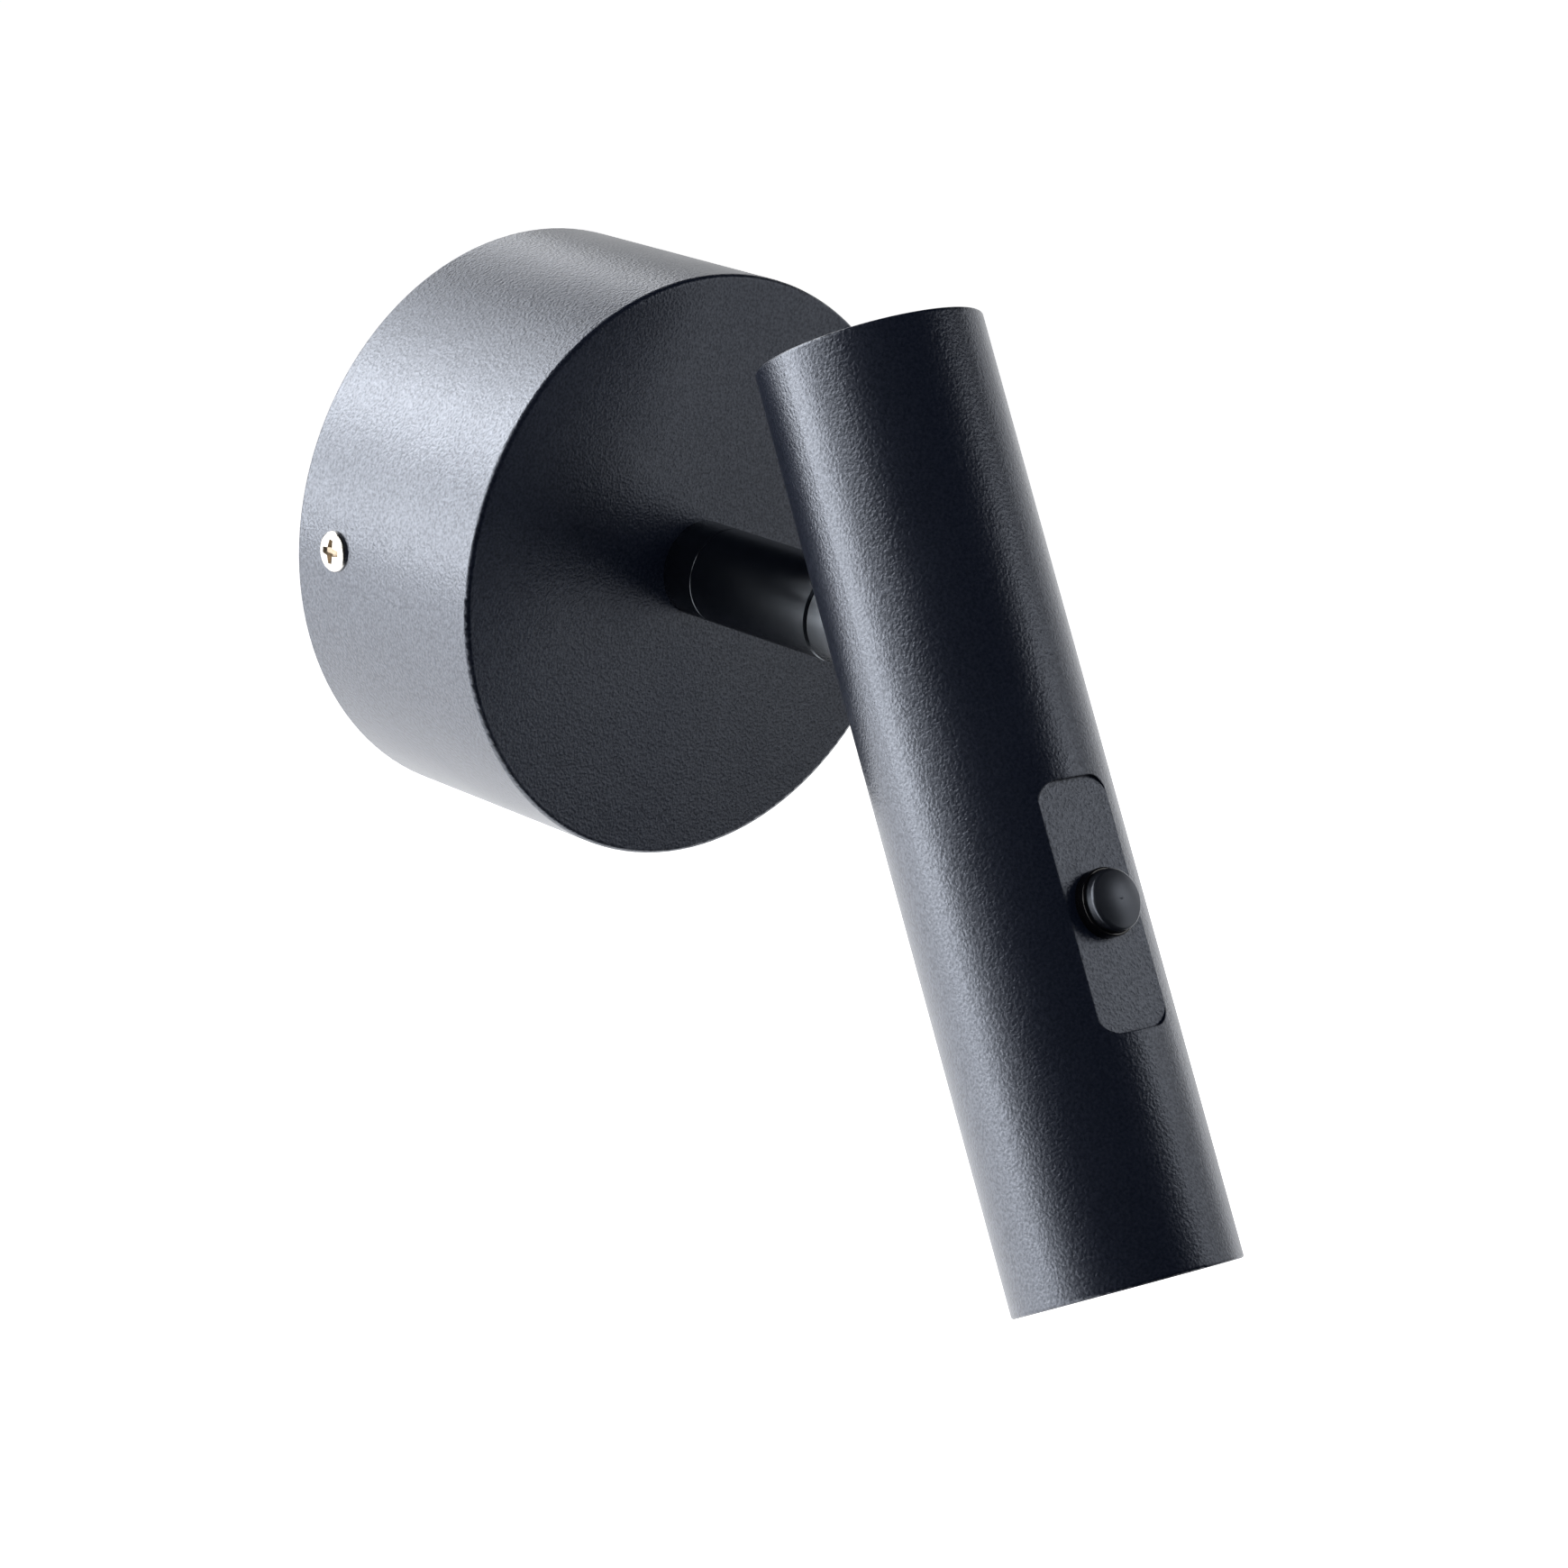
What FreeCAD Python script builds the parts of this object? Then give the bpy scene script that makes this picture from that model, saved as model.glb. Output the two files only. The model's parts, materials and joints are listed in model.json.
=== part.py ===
"""Tube wall light: a round canopy on the wall, a short stem, and a slim tube head.

The origin is the centre of the canopy's back, on the wall. +Z is up and the light
stands out of the wall along -Y. Lengths are millimetres, angles are degrees.
The head swivels on the stem, tilts on a pin inside the tube, and has a push switch.
Head pieces are drawn with the tube upright and its pivot at the origin, the front
towards -Y and the lamp end towards -Z, and head_place then tilts and carries them out.
"""
import FreeCAD, Part
import math
import os

Vector = FreeCAD.Vector

# ---------------------------------------------------------------- canopy and wall plate
canopy_diameter = 100.0
canopy_depth = 45.9
canopy_wall = 2.5
canopy_face_thickness = 3.0
canopy_edge_round = 0.8
canopy_screw_from_wall = 10.0

plate_thickness = 1.5
plate_clearance = 0.8
plate_ear_width = 14.0
plate_ear_depth = 16.0
plate_bend_radius = 1.2
plate_nut_radius = 3.6
plate_nut_height = 1.8
wall_slot_spacing = 60.0
wall_slot_length = 10.0
wall_slot_width = 4.6

cable_hole_radius = 8.5
bush_bore_radius = 6.5
bush_flange_radius = 10.5
bush_flange_thickness = 1.5
bush_depth = 4.0
bush_below_block = 2.5

# ---------------------------------------------------------------- terminals and driver
block_length = 30.0
block_height = 10.0
block_depth = 14.0
block_top_from_rim = 10.5
block_way_pitch = 10.0
block_web_cut = 3.0
block_web_cut_depth = 4.7
clamp_radius = 2.4
clamp_bore_radius = 1.4
clamp_end_recess = 0.5
clamp_from_plate = 6.5
clamp_screw_radius = 1.2
clamp_screw_inset = 2.5
clamp_screw_sunk = 2.5
clamp_screw_grip = 0.7
clamp_groove_width = 0.5
clamp_groove_depth = 0.6
foot_screw_grip = 3.0
foot_head_radius = 2.3
foot_cone_depth = 0.8

earth_screw_turn = 50.4
earth_screw_from_edge = 9.0
earth_washer_radius = 4.2
earth_washer_thickness = 0.8
earth_lug_radius = 3.8
earth_lug_thickness = 0.8
earth_tail_length = 5.0
earth_tail_width = 3.2
earth_head_extra = 1.0

driver_length = 50.0
driver_height = 23.0
driver_depth = 22.0
driver_rim_gap = 2.0
driver_wall = 1.6
driver_lid_thickness = 2.0
driver_corner = 2.0
driver_least_corner = 0.3
driver_lead_share = 0.6
driver_lead_below_wall = 3.0
driver_board_thickness = 1.6
driver_board_standoff = 3.0
driver_board_gap = 0.4
driver_screw_inset = 4.0
driver_pillar_radius = 2.6
driver_coil_length = 12.0
driver_coil_width = 9.6
driver_component_height = 9.0
driver_foot_width = 2.0
capacitor_radius = 4.0
capacitor_from_middle = 13.5
small_capacitor_radius = 2.8
small_capacitor_height = 7.0

# ---------------------------------------------------------------- stem and swivel
stem_diameter = 16.2
collar_length = 7.0
collar_edge_round = 0.4
stem_seam_from_wall = 81.4
seam_gap = 0.25
seam_chamfer = 0.35
stem_thread_diameter = 13.0
stem_thread_tail = 2.0
stem_bore_radius = 5.3
stem_flange_thickness = 3.5
stem_washer_radius = 11.0
stem_washer_thickness = 1.2
stem_nut_across_flats = 19.0
stem_nut_height = 4.0
stem_bush_lip = 1.0
stem_bush_length = 6.0
stem_bush_wall = 1.2
stem_bush_lip_inset = 0.2

spigot_radius = 4.0
spigot_bore_radius = 2.2
swivel_washer_radius = 5.3
swivel_washer_thickness = 1.15
spring_washer_thickness = 0.8
swivel_nut_radius = 5.0
swivel_nut_height = 5.0
nut_groove_width = 1.0
nut_groove_depth = 1.0
spigot_tail = 1.0
stop_groove_radius = 6.7
stop_pin_radius = 0.5
stop_pin_grip = 3.0
stop_groove_depth = 2.2
stop_pin_end_gap = 0.2
swivel_limit = 170.0

# ---------------------------------------------------------------- tilt pivot
pivot_from_wall = 108.15
rest_tilt = 28.9
tilt_limit = 45.0
tongue_thickness = 10.0
tongue_step = 11.5
tilt_pin_radius = 2.5
tilt_pin_length = 27.0
tilt_pin_chamfer = 0.3
tilt_washer_radius = 7.5
tilt_washer_thickness = 0.5
lead_exit_from_pivot = 7.0

block_below_pivot = 29.0
ear_gap = 0.6
lead_window_width = 6.0
lead_window_depth = 11.0
lead_window_skin = 1.0
block_screw_from_pivot = 19.0

# ---------------------------------------------------------------- head tube
tube_diameter = 38.1
tube_wall = 2.55
tube_above_pivot = 51.7
tube_below_pivot = 105.3
tube_edge_round = 0.5
slot_clearance = 0.3
cap_thickness = 4.0
cap_key_gap = 0.6
side_screw_turn = 30.0

# ---------------------------------------------------------------- push switch
pocket_depth = 1.5
pocket_length = 41.0
pocket_width = 15.2
pocket_corner = 4.0
switch_from_pivot = 46.4
bezel_radius = 5.6
bezel_wall = 0.4
bezel_height = 2.0
bezel_floor = 0.3
bezel_edge_round = 0.25
barrel_radius = 4.9
barrel_length = 9.5
button_radius = 5.05
button_rise = 1.7
button_crown = 0.9
button_edge_round = 0.7
button_overlap = 0.4
button_travel = 1.1
plunger_radius = 2.3
plunger_past_seat = 2.3
plunger_end_gap = 0.2
spring_wire_radius = 0.22
spring_mean_radius = 2.95
spring_turns = 5.0
spring_room = 0.4
spring_seat_depth = 4.6
saddle_radius = 7.2
saddle_thickness = 1.6
switch_nut_across_flats = 13.0
switch_nut_height = 2.5
switch_base_radius = 4.4
switch_base_length = 4.0
tag_width = 2.0
tag_thickness = 0.5
tag_length = 4.5
tag_spacing = 5.0

# ---------------------------------------------------------------- lamp end
ring_recess = 10.0
ring_thickness = 3.0
ring_opening_radius = 14.2
ring_notch_width = 2.0
ring_notch_depth = 1.0
lens_thickness = 2.0
lens_radius = 16.2
lens_chamfer = 0.3
reflector_depth = 9.6
reflector_mouth_radius = 13.6
reflector_throat_radius = 5.4
reflector_wall = 0.9
reflector_rim = 1.0
reflector_bulge_out = 5.1
reflector_bulge_down = 4.3
phosphor_radius = 4.6
phosphor_thickness = 0.5
chip_size = 13.5
chip_corner = 1.0
chip_thickness = 0.7
led_board_radius = 14.5
led_board_thickness = 1.6
led_board_screw_radius = 11.5
thermal_pad_thickness = 0.3
sink_base = 4.0
sink_fin_height = 12.0
sink_fin_thickness = 2.0
sink_fin_pitch = 4.6
sink_fin_count = 7
lead_notch_radius = 2.2
lead_notch_from_axis = 13.0

# ---------------------------------------------------------------- leads
core_radius = 0.6
single_lead_radius = 0.9
sheath_radius = 1.6
sheath_split_from_pivot = 33.0
core_offset = 0.8
supply_lead_pitch = 2.8
lead_rise = 3.0
lead_corner_gap = 2.2
lead_from_rim = 9.5
lead_from_driver = 7.0
supply_lead_turn = 60.0
supply_lead_sink = 2.0
earth_lead_on_tail = 3.0
output_lead_turn = 107.0
output_lead_step = 5.0
stem_lead_sweep = 7.0
stem_lead_room = 2.0
flex_lead_straight = 3.0
flex_lead_run = 8.0
lead_in_notch = 0.7
switch_lead_drop = 5.0
switch_lead_forward = 3.0
led_lead_reach = 4.0

# ---------------------------------------------------------------- screws and fits
m4_radius = 2.0
m4_head_radius = 3.5
m4_head_height = 1.1
m3_radius = 1.5
m3_head_radius = 2.8
m3_cone_depth = 1.5
m3_pan_radius = 2.7
m3_pan_height = 1.6
m25_radius = 1.25
m25_head_radius = 2.2
m25_head_height = 1.4
cross_arm_share = 0.52
flat_cross_arm_share = 0.47
cross_arm_width = 0.9
cross_depth = 0.9
pan_round_share = 0.6
canopy_screw_length = 7.0
block_screw_length = 6.0
short_screw_length = 5.0
thread_clearance = 0.05
hole_clearance = 0.25
running_clearance = 0.06
slide_clearance = 0.1
seat_gap = 0.05
screw_end_gap = 0.3

# ---------------------------------------------------------------- worked-out places
canopy_radius = canopy_diameter / 2
canopy_inner_radius = canopy_radius - canopy_wall
canopy_inner_depth = canopy_depth - canopy_face_thickness
plate_radius = canopy_inner_radius - plate_clearance
plate_ear_face = math.sqrt(plate_radius ** 2 - (plate_ear_width / 2) ** 2)

block_top = canopy_inner_radius - block_top_from_rim
block_centre_height = block_top - block_height / 2
cable_hole_height = block_top - block_height - bush_below_block - bush_flange_radius
earth_screw_from_centre = plate_radius - earth_screw_from_edge
earth_screw_x = earth_screw_from_centre * math.sin(math.radians(earth_screw_turn))
earth_screw_z = earth_screw_from_centre * math.cos(math.radians(earth_screw_turn))
driver_reach = canopy_inner_radius - driver_rim_gap
driver_bottom_height = -math.sqrt(driver_reach ** 2 - (driver_length / 2) ** 2)
driver_top_height = driver_bottom_height + driver_height
driver_side = driver_length / 2
driver_lid_near = plate_thickness + driver_depth - driver_lid_thickness
driver_lead_depth = plate_thickness + driver_depth * driver_lead_share
driver_lead_height = driver_top_height - driver_wall - driver_lead_below_wall
clamp_depth = plate_thickness + clamp_from_plate
lug_near = plate_thickness + earth_washer_thickness
lug_far = lug_near + earth_lug_thickness
lead_run = canopy_inner_radius - lead_from_rim

stem_radius = stem_diameter / 2
stem_start = canopy_depth + collar_length
stem_thread_radius = stem_thread_diameter / 2
nut_far = canopy_inner_depth - stem_washer_thickness
nut_near = nut_far - stem_nut_height
stem_tail = nut_near - stem_thread_tail
stem_entry = stem_tail - stem_bush_lip - stem_lead_room
knuckle_start = stem_seam_from_wall + seam_gap
washer_near = knuckle_start - swivel_washer_thickness
flange_near = washer_near - stem_flange_thickness
spring_washer_near = flange_near - spring_washer_thickness
swivel_nut_near = spring_washer_near - swivel_nut_height
spigot_end = swivel_nut_near - spigot_tail

tube_radius = tube_diameter / 2
tube_bore = tube_radius - tube_wall
insert_radius = tube_bore - slide_clearance
slot_half_width = stem_radius + slot_clearance
slot_reach = tube_radius * math.tan(math.radians(tilt_limit))
slot_reach += slot_half_width / math.cos(math.radians(tilt_limit))
ear_face = tongue_thickness / 2 + tilt_washer_thickness + 2 * seat_gap
cap_underside = tube_above_pivot - cap_thickness

flat_height = tube_radius - pocket_depth
well_floor = flat_height + bezel_floor
bezel_top = flat_height + bezel_height
button_bottom = bezel_top - button_overlap
button_top = bezel_top + button_rise
spring_seat = flat_height - spring_seat_depth
barrel_end = flat_height - barrel_length
saddle_underside = math.sqrt(insert_radius ** 2 - saddle_radius ** 2) - saddle_thickness
switch_nut_top = saddle_underside - seat_gap
base_end = barrel_end - switch_base_length
tag_top = base_end + switch_base_length / 2
plunger_end = spring_seat - plunger_past_seat

ring_far = tube_below_pivot - ring_recess
ring_near = ring_far - ring_thickness
lens_near = ring_near - lens_thickness - seat_gap
reflector_near = lens_near - reflector_depth - seat_gap
phosphor_near = reflector_near - phosphor_thickness - seat_gap
chip_near = phosphor_near - chip_thickness
board_near = chip_near - led_board_thickness
sink_far = board_near - thermal_pad_thickness
sink_base_near = sink_far - sink_base
sink_near = sink_base_near - sink_fin_height
sink_screw_from_pivot = sink_far - sink_base / 2


# ---------------------------------------------------------------- shape helpers
def post(radius, near, far, x=0.0, z=0.0):
    """A round bar standing out towards -Y, from depth near to depth far."""
    return Part.makeCylinder(radius, far - near, Vector(x, -near, z), Vector(0, -1, 0))


def ring(outer, inner, near, far, x=0.0, z=0.0):
    """A round bar towards -Y with a bore through it."""
    return post(outer, near, far, x, z).cut(post(inner, near - 1, far + 1, x, z))


def slab(x_range, depth_range, z_range):
    """A box given by its x range, its depth range towards -Y and its z range."""
    size = Vector(x_range[1] - x_range[0], depth_range[1] - depth_range[0], z_range[1] - z_range[0])
    return Part.makeBox(size.x, size.y, size.z, Vector(x_range[0], -depth_range[1], z_range[0]))


def bar(radius, top, bottom, x=0.0, front=0.0):
    """A round bar along the head tube, from top to bottom below the pivot."""
    return Part.makeCylinder(radius, bottom - top, Vector(x, -front, -top), Vector(0, 0, -1))


def cross_bar(radius, x_from, x_to, depth=0.0, z=0.0):
    """A round bar along X."""
    return Part.makeCylinder(radius, x_to - x_from, Vector(x_from, -depth, z), Vector(1, 0, 0))


def head_slab(x_range, front_range, below_range):
    """A box in the head, given by x, by distance in front of the axis and below the pivot."""
    return slab(x_range, front_range, (-below_range[1], -below_range[0]))


def aim(shape, point, direction):
    """Turn a shape drawn along +Z to a direction and carry it to a point."""
    turned = shape.copy()
    turned.Placement = FreeCAD.Placement(point, FreeCAD.Rotation(Vector(0, 0, 1), direction))
    return turned


def union(shapes):
    """Join touching shapes into one clean solid."""
    joined = shapes[0].fuse(shapes[1:])
    return joined.removeSplitter()


def round_edges(shape, size, chosen):
    """Round the edges that the test picks."""
    return shape.makeFillet(size, [edge for edge in shape.Edges if chosen(edge)])


def circle_at(edge, radius, depth):
    """True for a full circle about the Y axis with this radius at this depth."""
    if not isinstance(edge.Curve, Part.Circle):
        return False
    same_radius = abs(edge.Curve.Radius - radius) < 0.001
    return same_radius and abs(edge.Curve.Center.y + depth) < 0.001


def hexagon(across_flats, near, far, z=0.0):
    """A hexagonal bar towards -Y, between two depths."""
    reach = across_flats / math.sqrt(3)
    corners = []
    for step in range(7):
        turn = math.radians(60 * step)
        corners.append(Vector(reach * math.cos(turn), -near, z + reach * math.sin(turn)))
    face = Part.Face(Part.makePolygon(corners))
    return face.extrude(Vector(0, near - far, 0))


def cross_recess(arm, top):
    """The cross that a screwdriver turns, cut down from the head's top."""
    half = cross_arm_width / 2
    bottom = top - cross_depth
    flat = Part.makeBox(2 * arm, cross_arm_width, 2 * cross_depth, Vector(-arm, -half, bottom))
    upright = Part.makeBox(cross_arm_width, 2 * arm, 2 * cross_depth, Vector(-half, -arm, bottom))
    return flat.fuse(upright)


def pan_screw(radius, length, head_radius, head_height):
    """A pan-head screw along -Z, its head standing up from z = 0."""
    head = Part.makeCylinder(head_radius, head_height)
    rim = [edge for edge in head.Edges if isinstance(edge.Curve, Part.Circle)
           and edge.CenterOfMass.z > head_height / 2]
    head = head.makeFillet(head_height * pan_round_share, rim)
    shank = Part.makeCylinder(radius, length, Vector(0, 0, -length))
    return union([head, shank]).cut(cross_recess(head_radius * cross_arm_share, head_height))


def countersunk_screw(radius, length, head_radius, cone_depth):
    """A countersunk screw along -Z, its flat head flush with z = 0."""
    cone = Part.makeCone(radius, head_radius, cone_depth, Vector(0, 0, -cone_depth))
    shank = Part.makeCylinder(radius, length, Vector(0, 0, -length))
    return union([cone, shank]).cut(cross_recess(head_radius * flat_cross_arm_share, 0))


def screw_hole(radius, length, head_radius, cone_depth):
    """The countersunk hole that the screw above drops into."""
    wide = head_radius + thread_clearance
    cone = Part.makeCone(radius + thread_clearance, wide, cone_depth, Vector(0, 0, -cone_depth))
    shank = Part.makeCylinder(radius + thread_clearance, length + 1, Vector(0, 0, -length - 1))
    mouth = Part.makeCylinder(wide, 2)
    return cone.fuse([shank, mouth])


def tube_side(shape, below, turn):
    """Carry a screw drawn along -Z to the tube's skin: turn is the angle from the back."""
    angle = math.radians(turn)
    outward = Vector(math.sin(angle), math.cos(angle), 0)
    return aim(shape, outward * tube_radius - Vector(0, 0, below), outward)


def head_place(shape):
    """Tilt a head piece to its rest angle and carry it out to the pivot."""
    placed = shape.copy()
    placed.rotate(Vector(0, 0, 0), Vector(1, 0, 0), -rest_tilt)
    placed.translate(Vector(0, -pivot_from_wall, 0))
    return placed


def lead(points, radius):
    """A round lead along straight runs joined by the largest tangent arcs that fit."""
    edges = []
    start = points[0]
    for index in range(1, len(points) - 1):
        corner = points[index]
        back = points[index - 1] - corner
        ahead = points[index + 1] - corner
        shorter = min(back.Length, ahead.Length)
        back.normalize()
        ahead.normalize()
        turn = math.pi - back.getAngle(ahead)
        setback = 0.45 * shorter
        arc_radius = setback / math.tan(turn / 2)
        enter = corner + back * setback
        leave = corner + ahead * setback
        inward = back + ahead
        inward.normalize()
        middle = corner + inward * (arc_radius / math.cos(turn / 2) - arc_radius)
        edges.append(Part.LineSegment(start, enter).toShape())
        edges.append(Part.Arc(enter, middle, leave).toShape())
        start = leave
    edges.append(Part.LineSegment(start, points[-1]).toShape())
    profile = Part.Wire([Part.makeCircle(radius, points[0], points[1] - points[0])])
    return Part.Wire(edges).makePipeShell([profile], True, False)


# ---------------------------------------------------------------- canopy and wall plate
def make_canopy_shell():
    cup = post(canopy_radius, 0, canopy_depth)
    cup = round_edges(cup, canopy_edge_round, lambda edge: circle_at(edge, canopy_radius, canopy_depth))
    cup = cup.cut(post(canopy_inner_radius, -1, canopy_inner_depth))
    cup = cup.cut(post(stem_thread_radius + slide_clearance, 0, canopy_depth + 1))
    span = canopy_radius + 1
    return cup.cut(cross_bar(m4_radius + hole_clearance, -span, span, canopy_screw_from_wall))


def make_wall_plate():
    disc = post(plate_radius, 0, plate_thickness)
    width = (-plate_ear_face, plate_ear_face)
    pieces = [disc.common(slab(width, (0, plate_thickness), (-canopy_radius, canopy_radius)))]
    half = plate_ear_width / 2
    for side in (-1, 1):
        inner = plate_ear_face - plate_thickness
        reach = sorted((side * inner, side * plate_ear_face))
        pieces.append(slab(reach, (0, plate_ear_depth), (-half, half)))
        collar = sorted((side * (inner - plate_nut_height), side * inner))
        pieces.append(cross_bar(plate_nut_radius, collar[0], collar[1], canopy_screw_from_wall))
    plate = union(pieces)
    plate = round_edges(plate, plate_bend_radius, is_ear_bend)
    span = canopy_radius
    plate = plate.cut(cross_bar(m4_radius + thread_clearance, -span, span, canopy_screw_from_wall))
    for side in (-1, 1):
        plate = plate.cut(wall_slot(side * wall_slot_spacing / 2))
    plate = plate.cut(post(cable_hole_radius, -1, plate_thickness + 1, 0, cable_hole_height))
    earth_radius = m4_radius + thread_clearance
    plate = plate.cut(post(earth_radius, -1, plate_thickness + 1, earth_screw_x, earth_screw_z))
    foot_hole = screw_hole(m3_radius, plate_thickness, foot_head_radius, foot_cone_depth)
    plate = plate.cut(aim(foot_hole, Vector(0, 0, block_centre_height), Vector(0, 1, 0)))
    for side in (-1, 1):
        place = driver_screw_place(side)
        plate = plate.cut(post(m3_radius + thread_clearance, -1, plate_thickness + 1, place[0], place[1]))
    return plate


def is_ear_bend(edge):
    """The long outer corner where an ear is folded up from the plate."""
    centre = edge.CenterOfMass
    at_face = abs(abs(centre.x) - plate_ear_face) < 0.001
    return at_face and abs(centre.y) < 0.001 and edge.Length > plate_ear_width * 0.9


def wall_slot(centre_x):
    """One level slot for a wall screw."""
    radius = wall_slot_width / 2
    reach = wall_slot_length / 2 - radius
    depths = (-1, plate_thickness + 1)
    ends = [post(radius, depths[0], depths[1], centre_x + side * reach) for side in (-1, 1)]
    middle = slab((centre_x - reach, centre_x + reach), depths, (-radius, radius))
    return middle.fuse(ends)


def make_canopy_screws():
    screws = []
    for side in (-1, 1):
        screw = pan_screw(m4_radius, canopy_screw_length, m4_head_radius, m4_head_height)
        place = Vector(side * canopy_radius, -canopy_screw_from_wall, 0)
        screws.append(aim(screw, place, Vector(side, 0, 0)))
    return Part.makeCompound(screws)


def make_cable_bush():
    barrel_outer = cable_hole_radius - slide_clearance
    barrel = ring(barrel_outer, bush_bore_radius, 0, bush_depth, 0, cable_hole_height)
    flange_far = plate_thickness + bush_flange_thickness
    flange = ring(bush_flange_radius, bush_bore_radius, plate_thickness, flange_far, 0, cable_hole_height)
    return union([barrel, flange])


# ---------------------------------------------------------------- terminals and earth
def block_ways():
    """The x of each way of the terminal block."""
    return [step * block_way_pitch for step in (-1, 0, 1)]


def clamp_screw_heights():
    """The z of the two screws of each way, near the two ends of its clamp."""
    reach = block_height / 2 - clamp_screw_inset
    return [block_centre_height + side * reach for side in (-1, 1)]


def upright_bar(radius, x, low, high):
    """A round bar along Z at the depth of the clamps."""
    return Part.makeCylinder(radius, high - low, Vector(x, -clamp_depth, low))


def make_terminal_block():
    half_length = block_length / 2
    low = block_centre_height - block_height / 2
    high = block_centre_height + block_height / 2
    far = plate_thickness + block_depth
    block = slab((-half_length, half_length), (plate_thickness, far), (low, high))
    for x in block_ways():
        block = block.cut(upright_bar(clamp_radius + slide_clearance, x, low - 1, high + 1))
        for z in clamp_screw_heights():
            block = block.cut(post(m3_radius + hole_clearance, clamp_depth, far + 1, x, z))
    for x in (-block_way_pitch / 2, block_way_pitch / 2):
        width = (x - block_web_cut / 2, x + block_web_cut / 2)
        block = block.cut(slab(width, (far - block_web_cut_depth, far + 1), (low - 1, high + 1)))
    foot = post(m3_radius + thread_clearance, 0, plate_thickness + foot_screw_grip, 0, block_centre_height)
    return block.cut(foot)


def make_terminal_clamps():
    low = block_centre_height - block_height / 2 + clamp_end_recess
    high = block_centre_height + block_height / 2 - clamp_end_recess
    clamps = []
    for x in block_ways():
        sleeve = upright_bar(clamp_radius, x, low, high)
        sleeve = sleeve.cut(upright_bar(clamp_bore_radius, x, low - 1, high + 1))
        for z in clamp_screw_heights():
            thread_radius = clamp_screw_radius + thread_clearance
            sleeve = sleeve.cut(post(thread_radius, clamp_depth, clamp_depth + 2 * clamp_radius, x, z))
        clamps.append(sleeve)
    return Part.makeCompound(clamps)


def make_terminal_screws():
    screws = []
    near = clamp_depth + clamp_screw_grip
    far = plate_thickness + block_depth - clamp_screw_sunk
    half_groove = clamp_groove_width / 2
    for x in block_ways():
        for z in clamp_screw_heights():
            screw = post(clamp_screw_radius, near, far, x, z)
            width = (x - clamp_screw_radius, x + clamp_screw_radius)
            groove = slab(width, (far - clamp_groove_depth, far + 1), (z - half_groove, z + half_groove))
            screws.append(screw.cut(groove))
    return Part.makeCompound(screws)


def make_terminal_mount_screw():
    """A screw from behind the plate's face into the block's foot, its flat head in the plate."""
    screw = countersunk_screw(m3_radius, plate_thickness + foot_screw_grip, foot_head_radius, foot_cone_depth)
    return aim(screw, Vector(0, 0, block_centre_height), Vector(0, 1, 0))


def make_earth_washer():
    bore = m4_radius + hole_clearance
    return ring(earth_washer_radius, bore, plate_thickness, lug_near, earth_screw_x, earth_screw_z)


def make_earth_lug():
    """An eye under the earth screw, with a flat tail that lies along the rim, towards the block."""
    half = earth_tail_width / 2
    eye = post(earth_lug_radius, lug_near, lug_far)
    tail = slab((-half, half), (lug_near, lug_far), (0, earth_lug_radius + earth_tail_length))
    lug = union([eye, tail]).cut(post(m4_radius + hole_clearance, lug_near - 1, lug_far + 1))
    lug.rotate(Vector(0, 0, 0), Vector(0, -1, 0), 90 - earth_screw_turn)
    lug.translate(Vector(earth_screw_x, 0, earth_screw_z))
    return lug


def along_lug_tail(reach):
    """The x and z of a point on the lug's middle line, this far from its screw."""
    turn = math.radians(90 - earth_screw_turn)
    return earth_screw_x - reach * math.sin(turn), earth_screw_z + reach * math.cos(turn)


def make_earth_screw():
    head_height = m4_head_height + earth_head_extra
    screw = pan_screw(m4_radius, lug_far - screw_end_gap, m4_head_radius, head_height)
    return aim(screw, Vector(earth_screw_x, -lug_far, earth_screw_z), Vector(0, -1, 0))


# ---------------------------------------------------------------- driver
def driver_box(grow, near, far):
    """The driver's outline, grown or shrunk, between two depths, with rounded corners."""
    half = driver_length / 2 + grow
    low = driver_top_height - driver_height - grow
    box = slab((-half, half), (near, far), (low, driver_top_height + grow))
    corner = max(driver_corner + grow, driver_least_corner)
    return box.makeFillet(corner, [edge for edge in box.Edges if edge.BoundBox.YLength > 0.9 * (far - near)])


def driver_screw_place(side):
    """The x and z of one of the two long screws through the driver."""
    x = side * (driver_side - driver_screw_inset)
    return x, driver_top_height - driver_height / 2


def make_driver_case():
    case = driver_box(0, plate_thickness, driver_lid_near)
    inside = driver_box(-driver_wall, plate_thickness + driver_wall, driver_lid_near + 1)
    case = case.cut(inside)
    for side in (-1, 1):
        x, z = driver_screw_place(side)
        pillar = post(driver_pillar_radius, plate_thickness, driver_lid_near, x, z)
        case = case.fuse(pillar)
    case = case.removeSplitter()
    for side in (-1, 1):
        x, z = driver_screw_place(side)
        case = case.cut(post(m3_radius + hole_clearance, 0, driver_lid_near + 1, x, z))
    for hole in driver_lead_holes():
        case = case.cut(hole)
    return case


def driver_lead_holes():
    """Holes for the supply leads at the left end and the output sheath at the right."""
    inner = driver_side - 2 * driver_wall
    outer = driver_side + 1
    single = single_lead_radius + slide_clearance
    holes = []
    for step in (0, 1):
        depth = driver_lead_depth - step * supply_lead_pitch
        holes.append(cross_bar(single, -outer, -inner, depth, driver_lead_height))
    sheath = sheath_radius + slide_clearance
    holes.append(cross_bar(sheath, inner, outer, driver_lead_depth, driver_lead_height))
    return holes


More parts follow.
